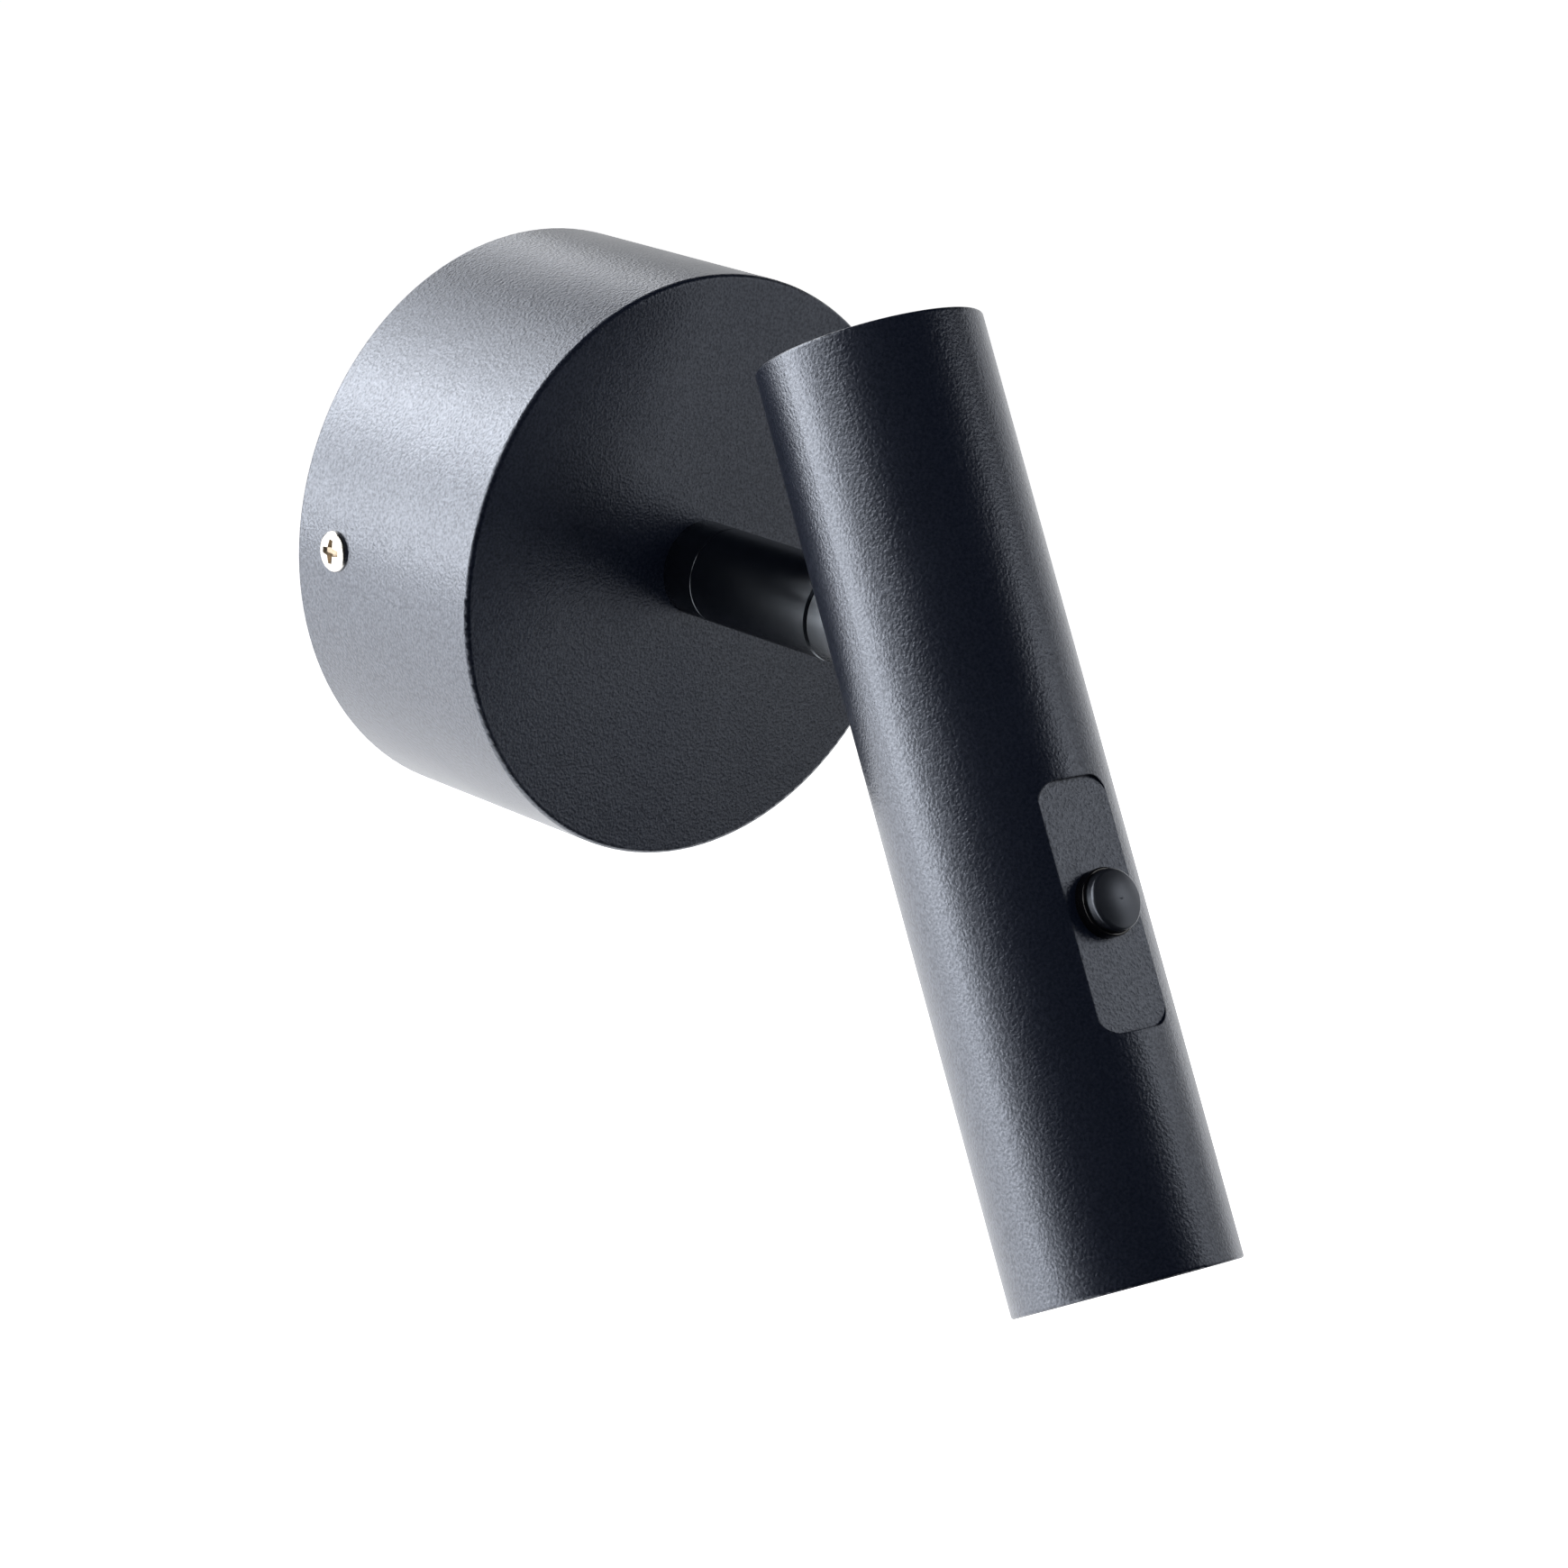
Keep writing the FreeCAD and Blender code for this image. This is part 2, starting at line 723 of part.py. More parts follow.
def make_driver_lid():
    lid = driver_box(0, driver_lid_near, plate_thickness + driver_depth)
    for side in (-1, 1):
        x, z = driver_screw_place(side)
        lid = lid.cut(post(m3_radius + hole_clearance, 0, canopy_depth, x, z))
    return lid


def make_driver_board():
    near = plate_thickness + driver_wall + driver_board_standoff
    far = near + driver_board_thickness
    board = driver_box(-driver_wall - driver_board_gap, near, far)
    middle = driver_top_height - driver_height / 2
    coil_half = driver_coil_length / 2
    coil_reach = driver_coil_width / 2
    top = far + driver_component_height
    parts = [board]
    parts.append(slab((-coil_half, coil_half), (far, top), (middle - coil_reach, middle + coil_reach)))
    parts.append(post(capacitor_radius, far, top, -capacitor_from_middle, middle))
    small_top = far + small_capacitor_height
    parts.append(post(small_capacitor_radius, far, small_top, capacitor_from_middle, middle))
    half = driver_foot_width / 2
    foot_depths = (near - driver_board_standoff, near)
    for x in (-coil_half, coil_half):
        parts.append(slab((x - half, x + half), foot_depths, (middle - half, middle + half)))
    board = union(parts)
    for side in (-1, 1):
        x, z = driver_screw_place(side)
        board = board.cut(post(driver_pillar_radius + slide_clearance, near - 1, far + 1, x, z))
    return board


def make_driver_screws():
    screws = []
    for side in (-1, 1):
        x, z = driver_screw_place(side)
        length = plate_thickness + driver_depth - screw_end_gap
        screw = pan_screw(m3_radius, length, m3_pan_radius, m3_pan_height)
        screws.append(aim(screw, Vector(x, -plate_thickness - driver_depth, z), Vector(0, -1, 0)))
    return Part.makeCompound(screws)


# ---------------------------------------------------------------- canopy leads
def over_corner(side, depth, gap):
    """A point past the block's upper corner, out from the centre of the canopy."""
    corner = Vector(side * block_length / 2, 0, block_top)
    reach = corner.Length + gap
    corner.normalize()
    return corner * reach + Vector(0, -depth, 0)


def round_rim(turn, depth):
    """A point on the leads' run round the canopy: turn is the angle from straight up."""
    angle = math.radians(turn)
    return Vector(lead_run * math.sin(angle), -depth, lead_run * math.cos(angle))


def make_supply_leads():
    """Two leads from the block's top, side by side round the left of the canopy to the driver."""
    leads = []
    for step, x in enumerate(block_ways()[:2]):
        shift = step * supply_lead_pitch
        depth = driver_lead_depth - shift
        points = [
            Vector(x, -clamp_depth, block_top - clamp_end_recess),
            Vector(x, -clamp_depth, block_top + lead_rise + shift),
            over_corner(-1, clamp_depth + supply_lead_sink * (1 - step), lead_corner_gap + shift),
            round_rim(-supply_lead_turn, depth - supply_lead_sink),
            round_rim(-90, depth),
            Vector(-lead_run, -depth, driver_top_height + single_lead_radius),
            Vector(-driver_side - lead_from_driver, -depth, driver_lead_height),
            Vector(-driver_side + driver_wall, -depth, driver_lead_height),
        ]
        leads.append(lead(points, single_lead_radius))
    return Part.makeCompound(leads)


def make_earth_lead():
    """From the third way of the block, over its corner and down onto the lug's tail."""
    resting = lug_far + single_lead_radius
    tail_end = earth_lug_radius + earth_tail_length
    above = along_lug_tail(tail_end + earth_lead_on_tail)
    end = along_lug_tail(tail_end - earth_lead_on_tail)
    x = block_ways()[2]
    points = [
        Vector(x, -clamp_depth, block_top - clamp_end_recess),
        Vector(x, -clamp_depth, block_top + lead_rise),
        over_corner(1, clamp_depth, lead_corner_gap),
        Vector(above[0], -resting, above[1]),
        Vector(end[0], -resting, end[1]),
    ]
    return lead(points, single_lead_radius)


def make_output_leads():
    """The sheathed leads from the driver's right end to the stem, and along it to the swivel."""
    depth = driver_lead_depth
    height = driver_lead_height
    points = [
        Vector(driver_side - driver_wall, -depth, height),
        Vector(driver_side + lead_from_driver, -depth, height),
        round_rim(output_lead_turn, depth + output_lead_step),
        Vector(stem_lead_sweep, output_lead_step - stem_entry, 0),
        Vector(0, -stem_entry, 0),
        Vector(0, -spigot_end, 0),
    ]
    return lead(points, sheath_radius)


# ---------------------------------------------------------------- stem
def make_stem_collar():
    collar = ring(stem_radius, stem_thread_radius + slide_clearance, canopy_depth, stem_start)
    return round_edges(collar, collar_edge_round, lambda edge: circle_at(edge, stem_radius, stem_start))


def make_stem_tube():
    body = post(stem_radius, stem_start, stem_seam_from_wall)
    body = body.makeChamfer(seam_chamfer, [edge for edge in body.Edges
                                           if circle_at(edge, stem_radius, stem_seam_from_wall)])
    root = post(stem_thread_radius, stem_tail, stem_start)
    stem = union([body, root])
    stem = stem.cut(post(stem_bore_radius, stem_tail - 1, flange_near))
    stem = stem.cut(post(spigot_radius + running_clearance, flange_near - 1, stem_seam_from_wall + 1))
    washer_bore = swivel_washer_radius + slide_clearance
    stem = stem.cut(post(washer_bore, washer_near, stem_seam_from_wall + 1))
    return stem.cut(stop_groove())


def stop_groove():
    """The groove that the stop pin runs in: a full turn, less the stop at the top."""
    half_width = stop_pin_radius + slide_clearance
    floor = stem_seam_from_wall - stop_groove_depth
    outer_side = stop_groove_radius + half_width
    inner_side = stop_groove_radius - half_width
    groove = ring(outer_side, inner_side, floor, stem_seam_from_wall + 1)
    pin_half_turn = math.asin(stop_pin_radius / stop_groove_radius)
    stop_half_turn = math.pi - math.radians(swivel_limit) - pin_half_turn
    side = stem_diameter * math.tan(stop_half_turn)
    centre = Vector(0, -floor + 1, 0)
    right = centre + Vector(side, 0, stem_diameter)
    left = centre + Vector(-side, 0, stem_diameter)
    wedge = Part.Face(Part.makePolygon([centre, right, left, centre]))
    return groove.cut(wedge.extrude(Vector(0, -stem_diameter, 0)))


def make_stem_washer():
    return ring(stem_washer_radius, stem_thread_radius + slide_clearance, nut_far, canopy_inner_depth)


def make_stem_nut():
    nut = hexagon(stem_nut_across_flats, nut_near, nut_far)
    return nut.cut(post(stem_thread_radius + thread_clearance, nut_near - 1, nut_far + 1))


def make_stem_bush():
    """A plastic lining where the leads enter the stem, with a lip over its end."""
    outer = stem_bore_radius - slide_clearance
    inner = outer - stem_bush_wall
    sleeve = ring(outer, inner, stem_tail - stem_bush_lip, stem_tail + stem_bush_length)
    lip = ring(stem_thread_radius - stem_bush_lip_inset, inner, stem_tail - stem_bush_lip, stem_tail)
    return union([sleeve, lip])


# ---------------------------------------------------------------- swivel
def make_knuckle():
    step = pivot_from_wall - tongue_step
    body = post(stem_radius, knuckle_start, step)
    body = body.makeChamfer(seam_chamfer, [edge for edge in body.Edges
                                           if circle_at(edge, stem_radius, knuckle_start)])
    half = tongue_thickness / 2
    spigot = post(spigot_radius, spigot_end, knuckle_start)
    tongue = slab((-half, half), (step, pivot_from_wall), (-stem_radius, stem_radius))
    round_end = cross_bar(stem_radius, -half, half, pivot_from_wall)
    blend = post(stem_radius, step, pivot_from_wall).common(tongue)
    knuckle = union([body, spigot, blend, round_end])
    exit_depth = pivot_from_wall - lead_exit_from_pivot
    knuckle = knuckle.cut(post(spigot_bore_radius, spigot_end - 1, exit_depth))
    window = Part.makeCylinder(spigot_bore_radius, stem_diameter, Vector(0, -exit_depth, -stem_diameter))
    dome = Part.makeSphere(spigot_bore_radius, Vector(0, -exit_depth, 0))
    knuckle = knuckle.cut(window.fuse(dome))
    pin_bore = tilt_pin_radius + running_clearance
    knuckle = knuckle.cut(cross_bar(pin_bore, -half - 1, half + 1, pivot_from_wall))
    pin_hole = post(stop_pin_radius, knuckle_start - 1, knuckle_start + stop_pin_grip, 0, -stop_groove_radius)
    return knuckle.cut(pin_hole)


def make_swivel_washer():
    return ring(swivel_washer_radius, spigot_radius + thread_clearance, washer_near, knuckle_start)


def make_swivel_stop_pin():
    tip = stem_seam_from_wall - stop_groove_depth + stop_pin_end_gap
    return post(stop_pin_radius, tip, knuckle_start + stop_pin_grip, 0, -stop_groove_radius)


def make_swivel_spring_washer():
    return ring(swivel_nut_radius, spigot_radius + thread_clearance, spring_washer_near, flange_near)


def make_swivel_nut():
    nut = ring(swivel_nut_radius, spigot_radius + thread_clearance, swivel_nut_near, spring_washer_near)
    depths = (swivel_nut_near - 1, swivel_nut_near + nut_groove_depth)
    half_groove = nut_groove_width / 2
    return nut.cut(slab((-swivel_nut_radius, swivel_nut_radius), depths, (-half_groove, half_groove)))


def make_arm_leads():
    exit_depth = pivot_from_wall - lead_exit_from_pivot
    points = [
        Vector(0, -spigot_end, 0),
        Vector(0, -exit_depth, 0),
        Vector(0, -exit_depth, -stem_radius),
    ]
    return lead(points, sheath_radius)


# ---------------------------------------------------------------- head tube
def stem_way(front, top):
    """The way that the stem swings through, from the back to a depth in front of the axis."""
    half = slot_half_width
    way = head_slab((-half, half), (-2 * tube_radius, front), (top, 0))
    return way.fuse(post(half, -2 * tube_radius, front))


def make_head_tube():
    tube = bar(tube_radius, -tube_above_pivot, tube_below_pivot)
    tube = tube.cut(bar(tube_bore, -tube_above_pivot - 1, tube_below_pivot + 1))
    rims = [edge for edge in tube.Edges if isinstance(edge.Curve, Part.Circle)
            and abs(edge.Curve.Radius - tube_radius) < 0.001]
    tube = tube.makeFillet(tube_edge_round, rims)
    tube = tube.cut(stem_way(0, -tube_above_pivot - 1))
    tube = tube.cut(switch_pocket())
    tube = tube.cut(post(barrel_radius + slide_clearance, 0, 2 * tube_radius, 0, -switch_from_pivot))
    for screw_place in (block_screw_from_pivot, sink_screw_from_pivot):
        for side in (-1, 1):
            hole = screw_hole(m3_radius, block_screw_length, m3_head_radius, m3_cone_depth)
            tube = tube.cut(tube_side(hole, screw_place, side * side_screw_turn))
    return tube


def switch_pocket():
    """The flat milled across the tube's front for the switch, with rounded corners."""
    half = pocket_width / 2
    top = switch_from_pivot - pocket_length / 2
    bottom = switch_from_pivot + pocket_length / 2
    pocket = head_slab((-half, half), (flat_height, 2 * tube_radius), (top, bottom))
    return pocket.makeFillet(pocket_corner, [edge for edge in pocket.Edges
                                             if edge.BoundBox.YLength > tube_radius / 2])


def make_top_cap():
    """A plug for the top end with a key that closes the slot above the stem's way."""
    plug = bar(insert_radius, -tube_above_pivot, -cap_underside)
    half = slot_half_width - slide_clearance
    key_end = -slot_reach - cap_key_gap
    key_width = (-half, half)
    behind = (-2 * tube_radius, 0)
    full = bar(tube_radius, -tube_above_pivot, key_end)
    root = full.common(head_slab(key_width, behind, (-tube_above_pivot, -cap_underside)))
    key = full.cut(bar(tube_bore, -tube_above_pivot - 1, 0))
    key = key.common(head_slab(key_width, behind, (-tube_above_pivot, key_end)))
    cap = union([plug, root, key])
    hole = screw_hole(m3_radius, block_screw_length + cap_thickness, m3_head_radius, m3_cone_depth)
    return cap.cut(aim(hole, Vector(0, 0, tube_above_pivot), Vector(0, 0, 1)))


def make_top_cap_screw():
    screw = countersunk_screw(m3_radius, block_screw_length + cap_thickness, m3_head_radius, m3_cone_depth)
    return aim(screw, Vector(0, 0, tube_above_pivot), Vector(0, 0, 1))


def make_pivot_block():
    """A plug that carries the tilt pin between two ears, with room for the stem's swing."""
    block = bar(insert_radius, -cap_underside + seat_gap, block_below_pivot)
    block = block.cut(stem_way(0, -slot_reach))
    tongue_room = stem_radius + slot_clearance
    middle = head_slab((-ear_face, ear_face), (-2 * tube_radius, tongue_room), (-slot_reach, tongue_room))
    block = block.cut(middle)
    ear_radius = tongue_step - ear_gap
    for side in (-1, 1):
        reach = sorted((side * ear_face, side * (slot_half_width + 1)))
        block = block.fuse(cross_bar(ear_radius, reach[0], reach[1]))
    block = block.removeSplitter()
    half_pin = tilt_pin_length / 2
    block = block.cut(cross_bar(tilt_pin_radius + thread_clearance, -half_pin, tube_radius))
    window_width = (-lead_window_width / 2, lead_window_width / 2)
    back = insert_radius - lead_window_skin
    block = block.cut(head_slab(window_width, (-back, lead_window_depth - back), (0, block_below_pivot + 1)))
    for side in (-1, 1):
        hole = screw_hole(m3_radius, block_screw_length, m3_head_radius, m3_cone_depth)
        block = block.cut(tube_side(hole, block_screw_from_pivot, side * side_screw_turn))
    top = screw_hole(m3_radius, block_screw_length + cap_thickness, m3_head_radius, m3_cone_depth)
    return block.cut(aim(top, Vector(0, 0, tube_above_pivot), Vector(0, 0, 1)))


def side_screws(below):
    """The pair of countersunk screws beside the tube's back line."""
    screws = []
    for side in (-1, 1):
        screw = countersunk_screw(m3_radius, block_screw_length, m3_head_radius, m3_cone_depth)
        screws.append(tube_side(screw, below, side * side_screw_turn))
    return Part.makeCompound(screws)


def make_pivot_block_screws():
    return side_screws(block_screw_from_pivot)


def make_tilt_pin():
    half = tilt_pin_length / 2
    pin = cross_bar(tilt_pin_radius, -half + seat_gap, half)
    ends = [edge for edge in pin.Edges if isinstance(edge.Curve, Part.Circle)]
    return pin.makeChamfer(tilt_pin_chamfer, ends)


def make_tilt_washers():
    washers = []
    near = tongue_thickness / 2 + seat_gap
    for side in (-1, 1):
        reach = sorted((side * near, side * (near + tilt_washer_thickness)))
        disc = cross_bar(tilt_washer_radius, reach[0], reach[1])
        washers.append(disc.cut(cross_bar(tilt_pin_radius + thread_clearance, reach[0] - 1, reach[1] + 1)))
    return Part.makeCompound(washers)


# ---------------------------------------------------------------- push switch
def make_switch_housing():
    z = -switch_from_pivot
    bezel = post(bezel_radius, flat_height, bezel_top, 0, z)
    bezel = round_edges(bezel, bezel_edge_round, lambda edge: circle_at(edge, bezel_radius, bezel_top))
    barrel = post(barrel_radius, barrel_end, flat_height, 0, z)
    housing = union([bezel, barrel])
    well = post(bezel_radius - bezel_wall, well_floor, bezel_top + 1, 0, z)
    bore = post(spring_mean_radius + spring_wire_radius + spring_room, spring_seat, bezel_top, 0, z)
    guide_floor = plunger_end - button_travel - plunger_end_gap
    guide = post(plunger_radius + slide_clearance, guide_floor, bezel_top, 0, z)
    return housing.cut(well).cut(bore).cut(guide)


def make_switch_button():
    """The button: a softly crowned round cap on a plunger."""
    crown_radius = (button_radius ** 2 + button_crown ** 2) / (2 * button_crown)
    half_turn = math.asin(button_radius / crown_radius) / 2
    drop = crown_radius * (1 - math.cos(half_turn))
    crest = Vector(0, 0, button_top + button_crown)
    middle = Vector(crown_radius * math.sin(half_turn), 0, crest.z - drop)
    rim = Vector(button_radius, 0, button_top)
    foot = Vector(button_radius, 0, button_bottom)
    centre = Vector(0, 0, button_bottom)
    edges = [Part.Arc(crest, middle, rim).toShape()]
    for start, end in ((rim, foot), (foot, centre), (centre, crest)):
        edges.append(Part.LineSegment(start, end).toShape())
    cap = Part.Face(Part.Wire(edges)).revolve(Vector(0, 0, 0), Vector(0, 0, 1), 360)
    rims = [edge for edge in cap.Edges if abs(edge.BoundBox.ZMin - button_top) < 0.001
            and abs(edge.BoundBox.ZMax - button_top) < 0.001]
    cap = cap.makeFillet(button_edge_round, rims)
    cap = aim(cap, Vector(0, 0, -switch_from_pivot), Vector(0, -1, 0))
    return union([cap, post(plunger_radius, plunger_end, button_bottom, 0, -switch_from_pivot)])


def make_switch_spring():
    """The return spring under the button."""
    height = button_bottom - spring_seat - 2 * spring_wire_radius - 2 * seat_gap
    helix = Part.makeHelix(height / spring_turns, height, spring_mean_radius)
    start = Vector(spring_mean_radius, 0, 0)
    profile = Part.Wire([Part.makeCircle(spring_wire_radius, start, Vector(0, 1, 0))])
    coil = Part.Wire(helix.Edges).makePipeShell([profile], True, True)
    base = Vector(0, -spring_seat - spring_wire_radius - seat_gap, -switch_from_pivot)
    return aim(coil, base, Vector(0, -1, 0))


def make_switch_saddle():
    """A ring whose top follows the tube's bore, so that the nut pulls on a flat face."""
    z = -switch_from_pivot
    saddle = ring(saddle_radius, barrel_radius + slide_clearance, saddle_underside, tube_bore, 0, z)
    return saddle.common(bar(insert_radius, 0, tube_below_pivot))


def make_switch_nut():
    nut_underside = switch_nut_top - switch_nut_height
    nut = hexagon(switch_nut_across_flats, nut_underside, switch_nut_top, -switch_from_pivot)
    return nut.cut(post(barrel_radius + thread_clearance, 0, tube_radius, 0, -switch_from_pivot))


def make_switch_base():
    base = post(switch_base_radius, base_end, barrel_end, 0, -switch_from_pivot)
    for x in (-tag_spacing / 2, tag_spacing / 2):
        base = base.cut(switch_tag(x, tag_top))
    return base


def switch_tag(x, top):
    z = -switch_from_pivot
    thickness = (x - tag_thickness / 2, x + tag_thickness / 2)
    width = (z - tag_width / 2, z + tag_width / 2)
    return slab(thickness, (base_end - tag_length, top), width)


def make_switch_tags():
    return Part.makeCompound([switch_tag(x, tag_top) for x in (-tag_spacing / 2, tag_spacing / 2)])


# ---------------------------------------------------------------- lamp end
def make_heat_sink():
    base = bar(insert_radius, sink_base_near, sink_far)
    parts = [base]
    first = -(sink_fin_count - 1) / 2
    for index in range(sink_fin_count):
        x = (first + index) * sink_fin_pitch
        half = sink_fin_thickness / 2
        fin = head_slab((x - half, x + half), (-tube_radius, tube_radius), (sink_near, sink_base_near))
        parts.append(fin.common(bar(insert_radius, sink_near, sink_base_near)))
    sink = union(parts)
    notch = bar(lead_notch_radius, sink_near - 1, sink_far + 1, 0, -lead_notch_from_axis)
    sink = sink.cut(notch)
    for side in (-1, 1):
        hole = screw_hole(m3_radius, block_screw_length, m3_head_radius, m3_cone_depth)
        sink = sink.cut(tube_side(hole, sink_screw_from_pivot, side * side_screw_turn))
        sink = sink.cut(bar(m25_radius + thread_clearance, sink_base_near - 1, sink_far + 1,
                            side * led_board_screw_radius))
    return sink


def make_heat_sink_screws():
    return side_screws(sink_screw_from_pivot)


def board_disc(near, far):
    """A disc of the board's outline, with its screw holes and its notch for the leads."""
    disc = bar(led_board_radius, near, far)
    for side in (-1, 1):
        disc = disc.cut(bar(m25_radius + slide_clearance, near - 1, far + 1, side * led_board_screw_radius))
    return disc.cut(bar(lead_notch_radius, near - 1, far + 1, 0, -lead_notch_from_axis))


def make_thermal_pad():
    return board_disc(sink_far, board_near)


def make_led_board():
    return board_disc(board_near, chip_near)


def make_led_chip():
    half = chip_size / 2
    chip = head_slab((-half, half), (-half, half), (chip_near, phosphor_near))
    corners = [edge for edge in chip.Edges if abs(edge.BoundBox.ZLength - chip_thickness) < 0.001]
    return chip.makeFillet(chip_corner, corners)


def make_led_phosphor():
    return bar(phosphor_radius, phosphor_near, phosphor_near + phosphor_thickness)


def make_led_screws():
    screws = []
    for side in (-1, 1):
        screw = pan_screw(m25_radius, short_screw_length, m25_head_radius, m25_head_height)
        place = Vector(side * led_board_screw_radius, 0, -chip_near)
        screws.append(aim(screw, place, Vector(0, 0, -1)))
    return Part.makeCompound(screws)


def make_reflector():
    """A bowl with a parabola's slope from its throat to its rim."""
    near = reflector_near
    rim_near = lens_near - seat_gap - reflector_rim
    far = lens_near - seat_gap
    throat = reflector_throat_radius
    mouth = reflector_mouth_radius
    bulge = Vector(throat + reflector_bulge_out, 0, -near - reflector_bulge_down)
    outer_bulge = bulge + Vector(reflector_wall, 0, 0)
    inner = Part.Arc(Vector(throat, 0, -near), bulge, Vector(mouth, 0, -far)).toShape()
    rim_top = Vector(mouth, 0, -far)
    rim_edge = Vector(insert_radius, 0, -far)
    rim_low = Vector(insert_radius, 0, -rim_near)
    rim_in = Vector(mouth + reflector_wall, 0, -rim_near)
    foot = Vector(throat + reflector_wall, 0, -near)
    outer = Part.Arc(rim_in, outer_bulge, foot).toShape()
    lines = [(rim_top, rim_edge), (rim_edge, rim_low), (rim_low, rim_in)]
    edges = [inner] + [Part.LineSegment(a, b).toShape() for a, b in lines] + [outer]
    edges.append(Part.LineSegment(foot, Vector(throat, 0, -near)).toShape())
    return Part.Face(Part.Wire(edges)).revolve(Vector(0, 0, 0), Vector(0, 0, 1), 360)


def make_lens():
    lens = bar(lens_radius, lens_near, lens_near + lens_thickness)
    rims = [edge for edge in lens.Edges if isinstance(edge.Curve, Part.Circle)]
    return lens.makeChamfer(lens_chamfer, rims)


def make_retaining_ring():
    band = bar(insert_radius, ring_near, ring_far).cut(bar(ring_opening_radius, ring_near - 1, ring_far + 1))
    for turn in (0, 90):
        notch = head_slab((-tube_radius, tube_radius), (-ring_notch_width / 2, ring_notch_width / 2),
                          (ring_far - ring_notch_depth, ring_far + 1))
        notch.rotate(Vector(0, 0, 0), Vector(0, 0, 1), turn)
        band = band.cut(notch)
    return band


# ---------------------------------------------------------------- head leads
def make_flex_leads():
    """The sheathed leads that bend as the head tilts, from the knuckle to the split."""
    tilt = math.radians(rest_tilt)
    back = lead_exit_from_pivot * math.cos(tilt) + stem_radius * math.sin(tilt)
    below = stem_radius * math.cos(tilt) - lead_exit_from_pivot * math.sin(tilt)
    points = [
        Vector(0, back, -below),
        Vector(0, back + flex_lead_straight * math.sin(tilt), -below - flex_lead_straight * math.cos(tilt)),
        Vector(0, lead_notch_from_axis - lead_in_notch, -below - flex_lead_run),
        Vector(0, lead_notch_from_axis - lead_in_notch, -sheath_split_from_pivot),
    ]
    return lead(points, sheath_radius)


def make_switch_leads():
    """Two cores from the split to the switch's tags."""
    start = lead_notch_from_axis - lead_in_notch - core_offset
    tag_tip = tag_length - base_end
    leads = []
    for side in (-1, 1):
        points = [
            Vector(side * core_offset, start, -sheath_split_from_pivot),
            Vector(side * core_offset, start, -sheath_split_from_pivot - switch_lead_drop),
            Vector(side * tag_spacing / 2, start - switch_lead_forward, -switch_from_pivot),
            Vector(side * tag_spacing / 2, tag_tip, -switch_from_pivot),
        ]
        leads.append(lead(points, core_radius))
    return Part.makeCompound(leads)


def make_led_leads():
    """Two cores from the split, past the switch and the heat sink, onto the board."""
    start = lead_notch_from_axis - lead_in_notch + core_offset
    above_board = chip_near + core_radius + seat_gap
    leads = []
    for side in (-1, 1):
        points = [
            Vector(side * core_offset, start, -sheath_split_from_pivot),
            Vector(side * core_offset, start, -above_board),
            Vector(side * core_offset, start - led_lead_reach, -above_board),
        ]
        leads.append(lead(points, core_radius))
    return Part.makeCompound(leads)


# ---------------------------------------------------------------- the assembly
fixed_pieces = {
    "canopy_shell": make_canopy_shell,
    "wall_plate": make_wall_plate,
    "canopy_screws": make_canopy_screws,
    "cable_bush": make_cable_bush,
    "terminal_block": make_terminal_block,
    "terminal_clamps": make_terminal_clamps,
    "terminal_screws": make_terminal_screws,
    "terminal_mount_screw": make_terminal_mount_screw,
    "earth_washer": make_earth_washer,
    "earth_lug": make_earth_lug,
    "earth_screw": make_earth_screw,
    "driver_case": make_driver_case,
    "driver_lid": make_driver_lid,
    "driver_board": make_driver_board,
    "driver_screws": make_driver_screws,
    "supply_leads": make_supply_leads,
    "earth_lead": make_earth_lead,
    "output_leads": make_output_leads,
    "stem_collar": make_stem_collar,
    "stem_tube": make_stem_tube,
    "stem_washer": make_stem_washer,
    "stem_nut": make_stem_nut,
    "stem_bush": make_stem_bush,
    "knuckle": make_knuckle,
    "swivel_washer": make_swivel_washer,
    "swivel_stop_pin": make_swivel_stop_pin,
    "swivel_spring_washer": make_swivel_spring_washer,
    "swivel_nut": make_swivel_nut,
    "arm_leads": make_arm_leads,
}

head_pieces = {
    "head_tube": make_head_tube,
    "top_cap": make_top_cap,
    "top_cap_screw": make_top_cap_screw,
    "pivot_block": make_pivot_block,
    "pivot_block_screws": make_pivot_block_screws,
    "tilt_pin": make_tilt_pin,
    "tilt_washers": make_tilt_washers,
    "switch_housing": make_switch_housing,
    "switch_button": make_switch_button,
    "switch_spring": make_switch_spring,
    "switch_saddle": make_switch_saddle,
    "switch_nut": make_switch_nut,
    "switch_base": make_switch_base,
    "switch_tags": make_switch_tags,
    "heat_sink": make_heat_sink,
    "heat_sink_screws": make_heat_sink_screws,
    "thermal_pad": make_thermal_pad,
    "led_board": make_led_board,
    "led_chip": make_led_chip,
    "led_phosphor": make_led_phosphor,
    "led_screws": make_led_screws,
    "reflector": make_reflector,
    "lens": make_lens,
    "retaining_ring": make_retaining_ring,
    "flex_leads": make_flex_leads,
    "switch_leads": make_switch_leads,
    "led_leads": make_led_leads,
}


def main():
    os.makedirs("parts", exist_ok=True)
    shapes = {name: make() for name, make in fixed_pieces.items()}
    shapes.update({name: head_place(make()) for name, make in head_pieces.items()})
    for name, shape in shapes.items():
        shape.exportStep("parts/" + name + ".step")


main()
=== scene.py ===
import json
import math

import bmesh
import bpy
from mathutils import Matrix, Quaternion, Vector


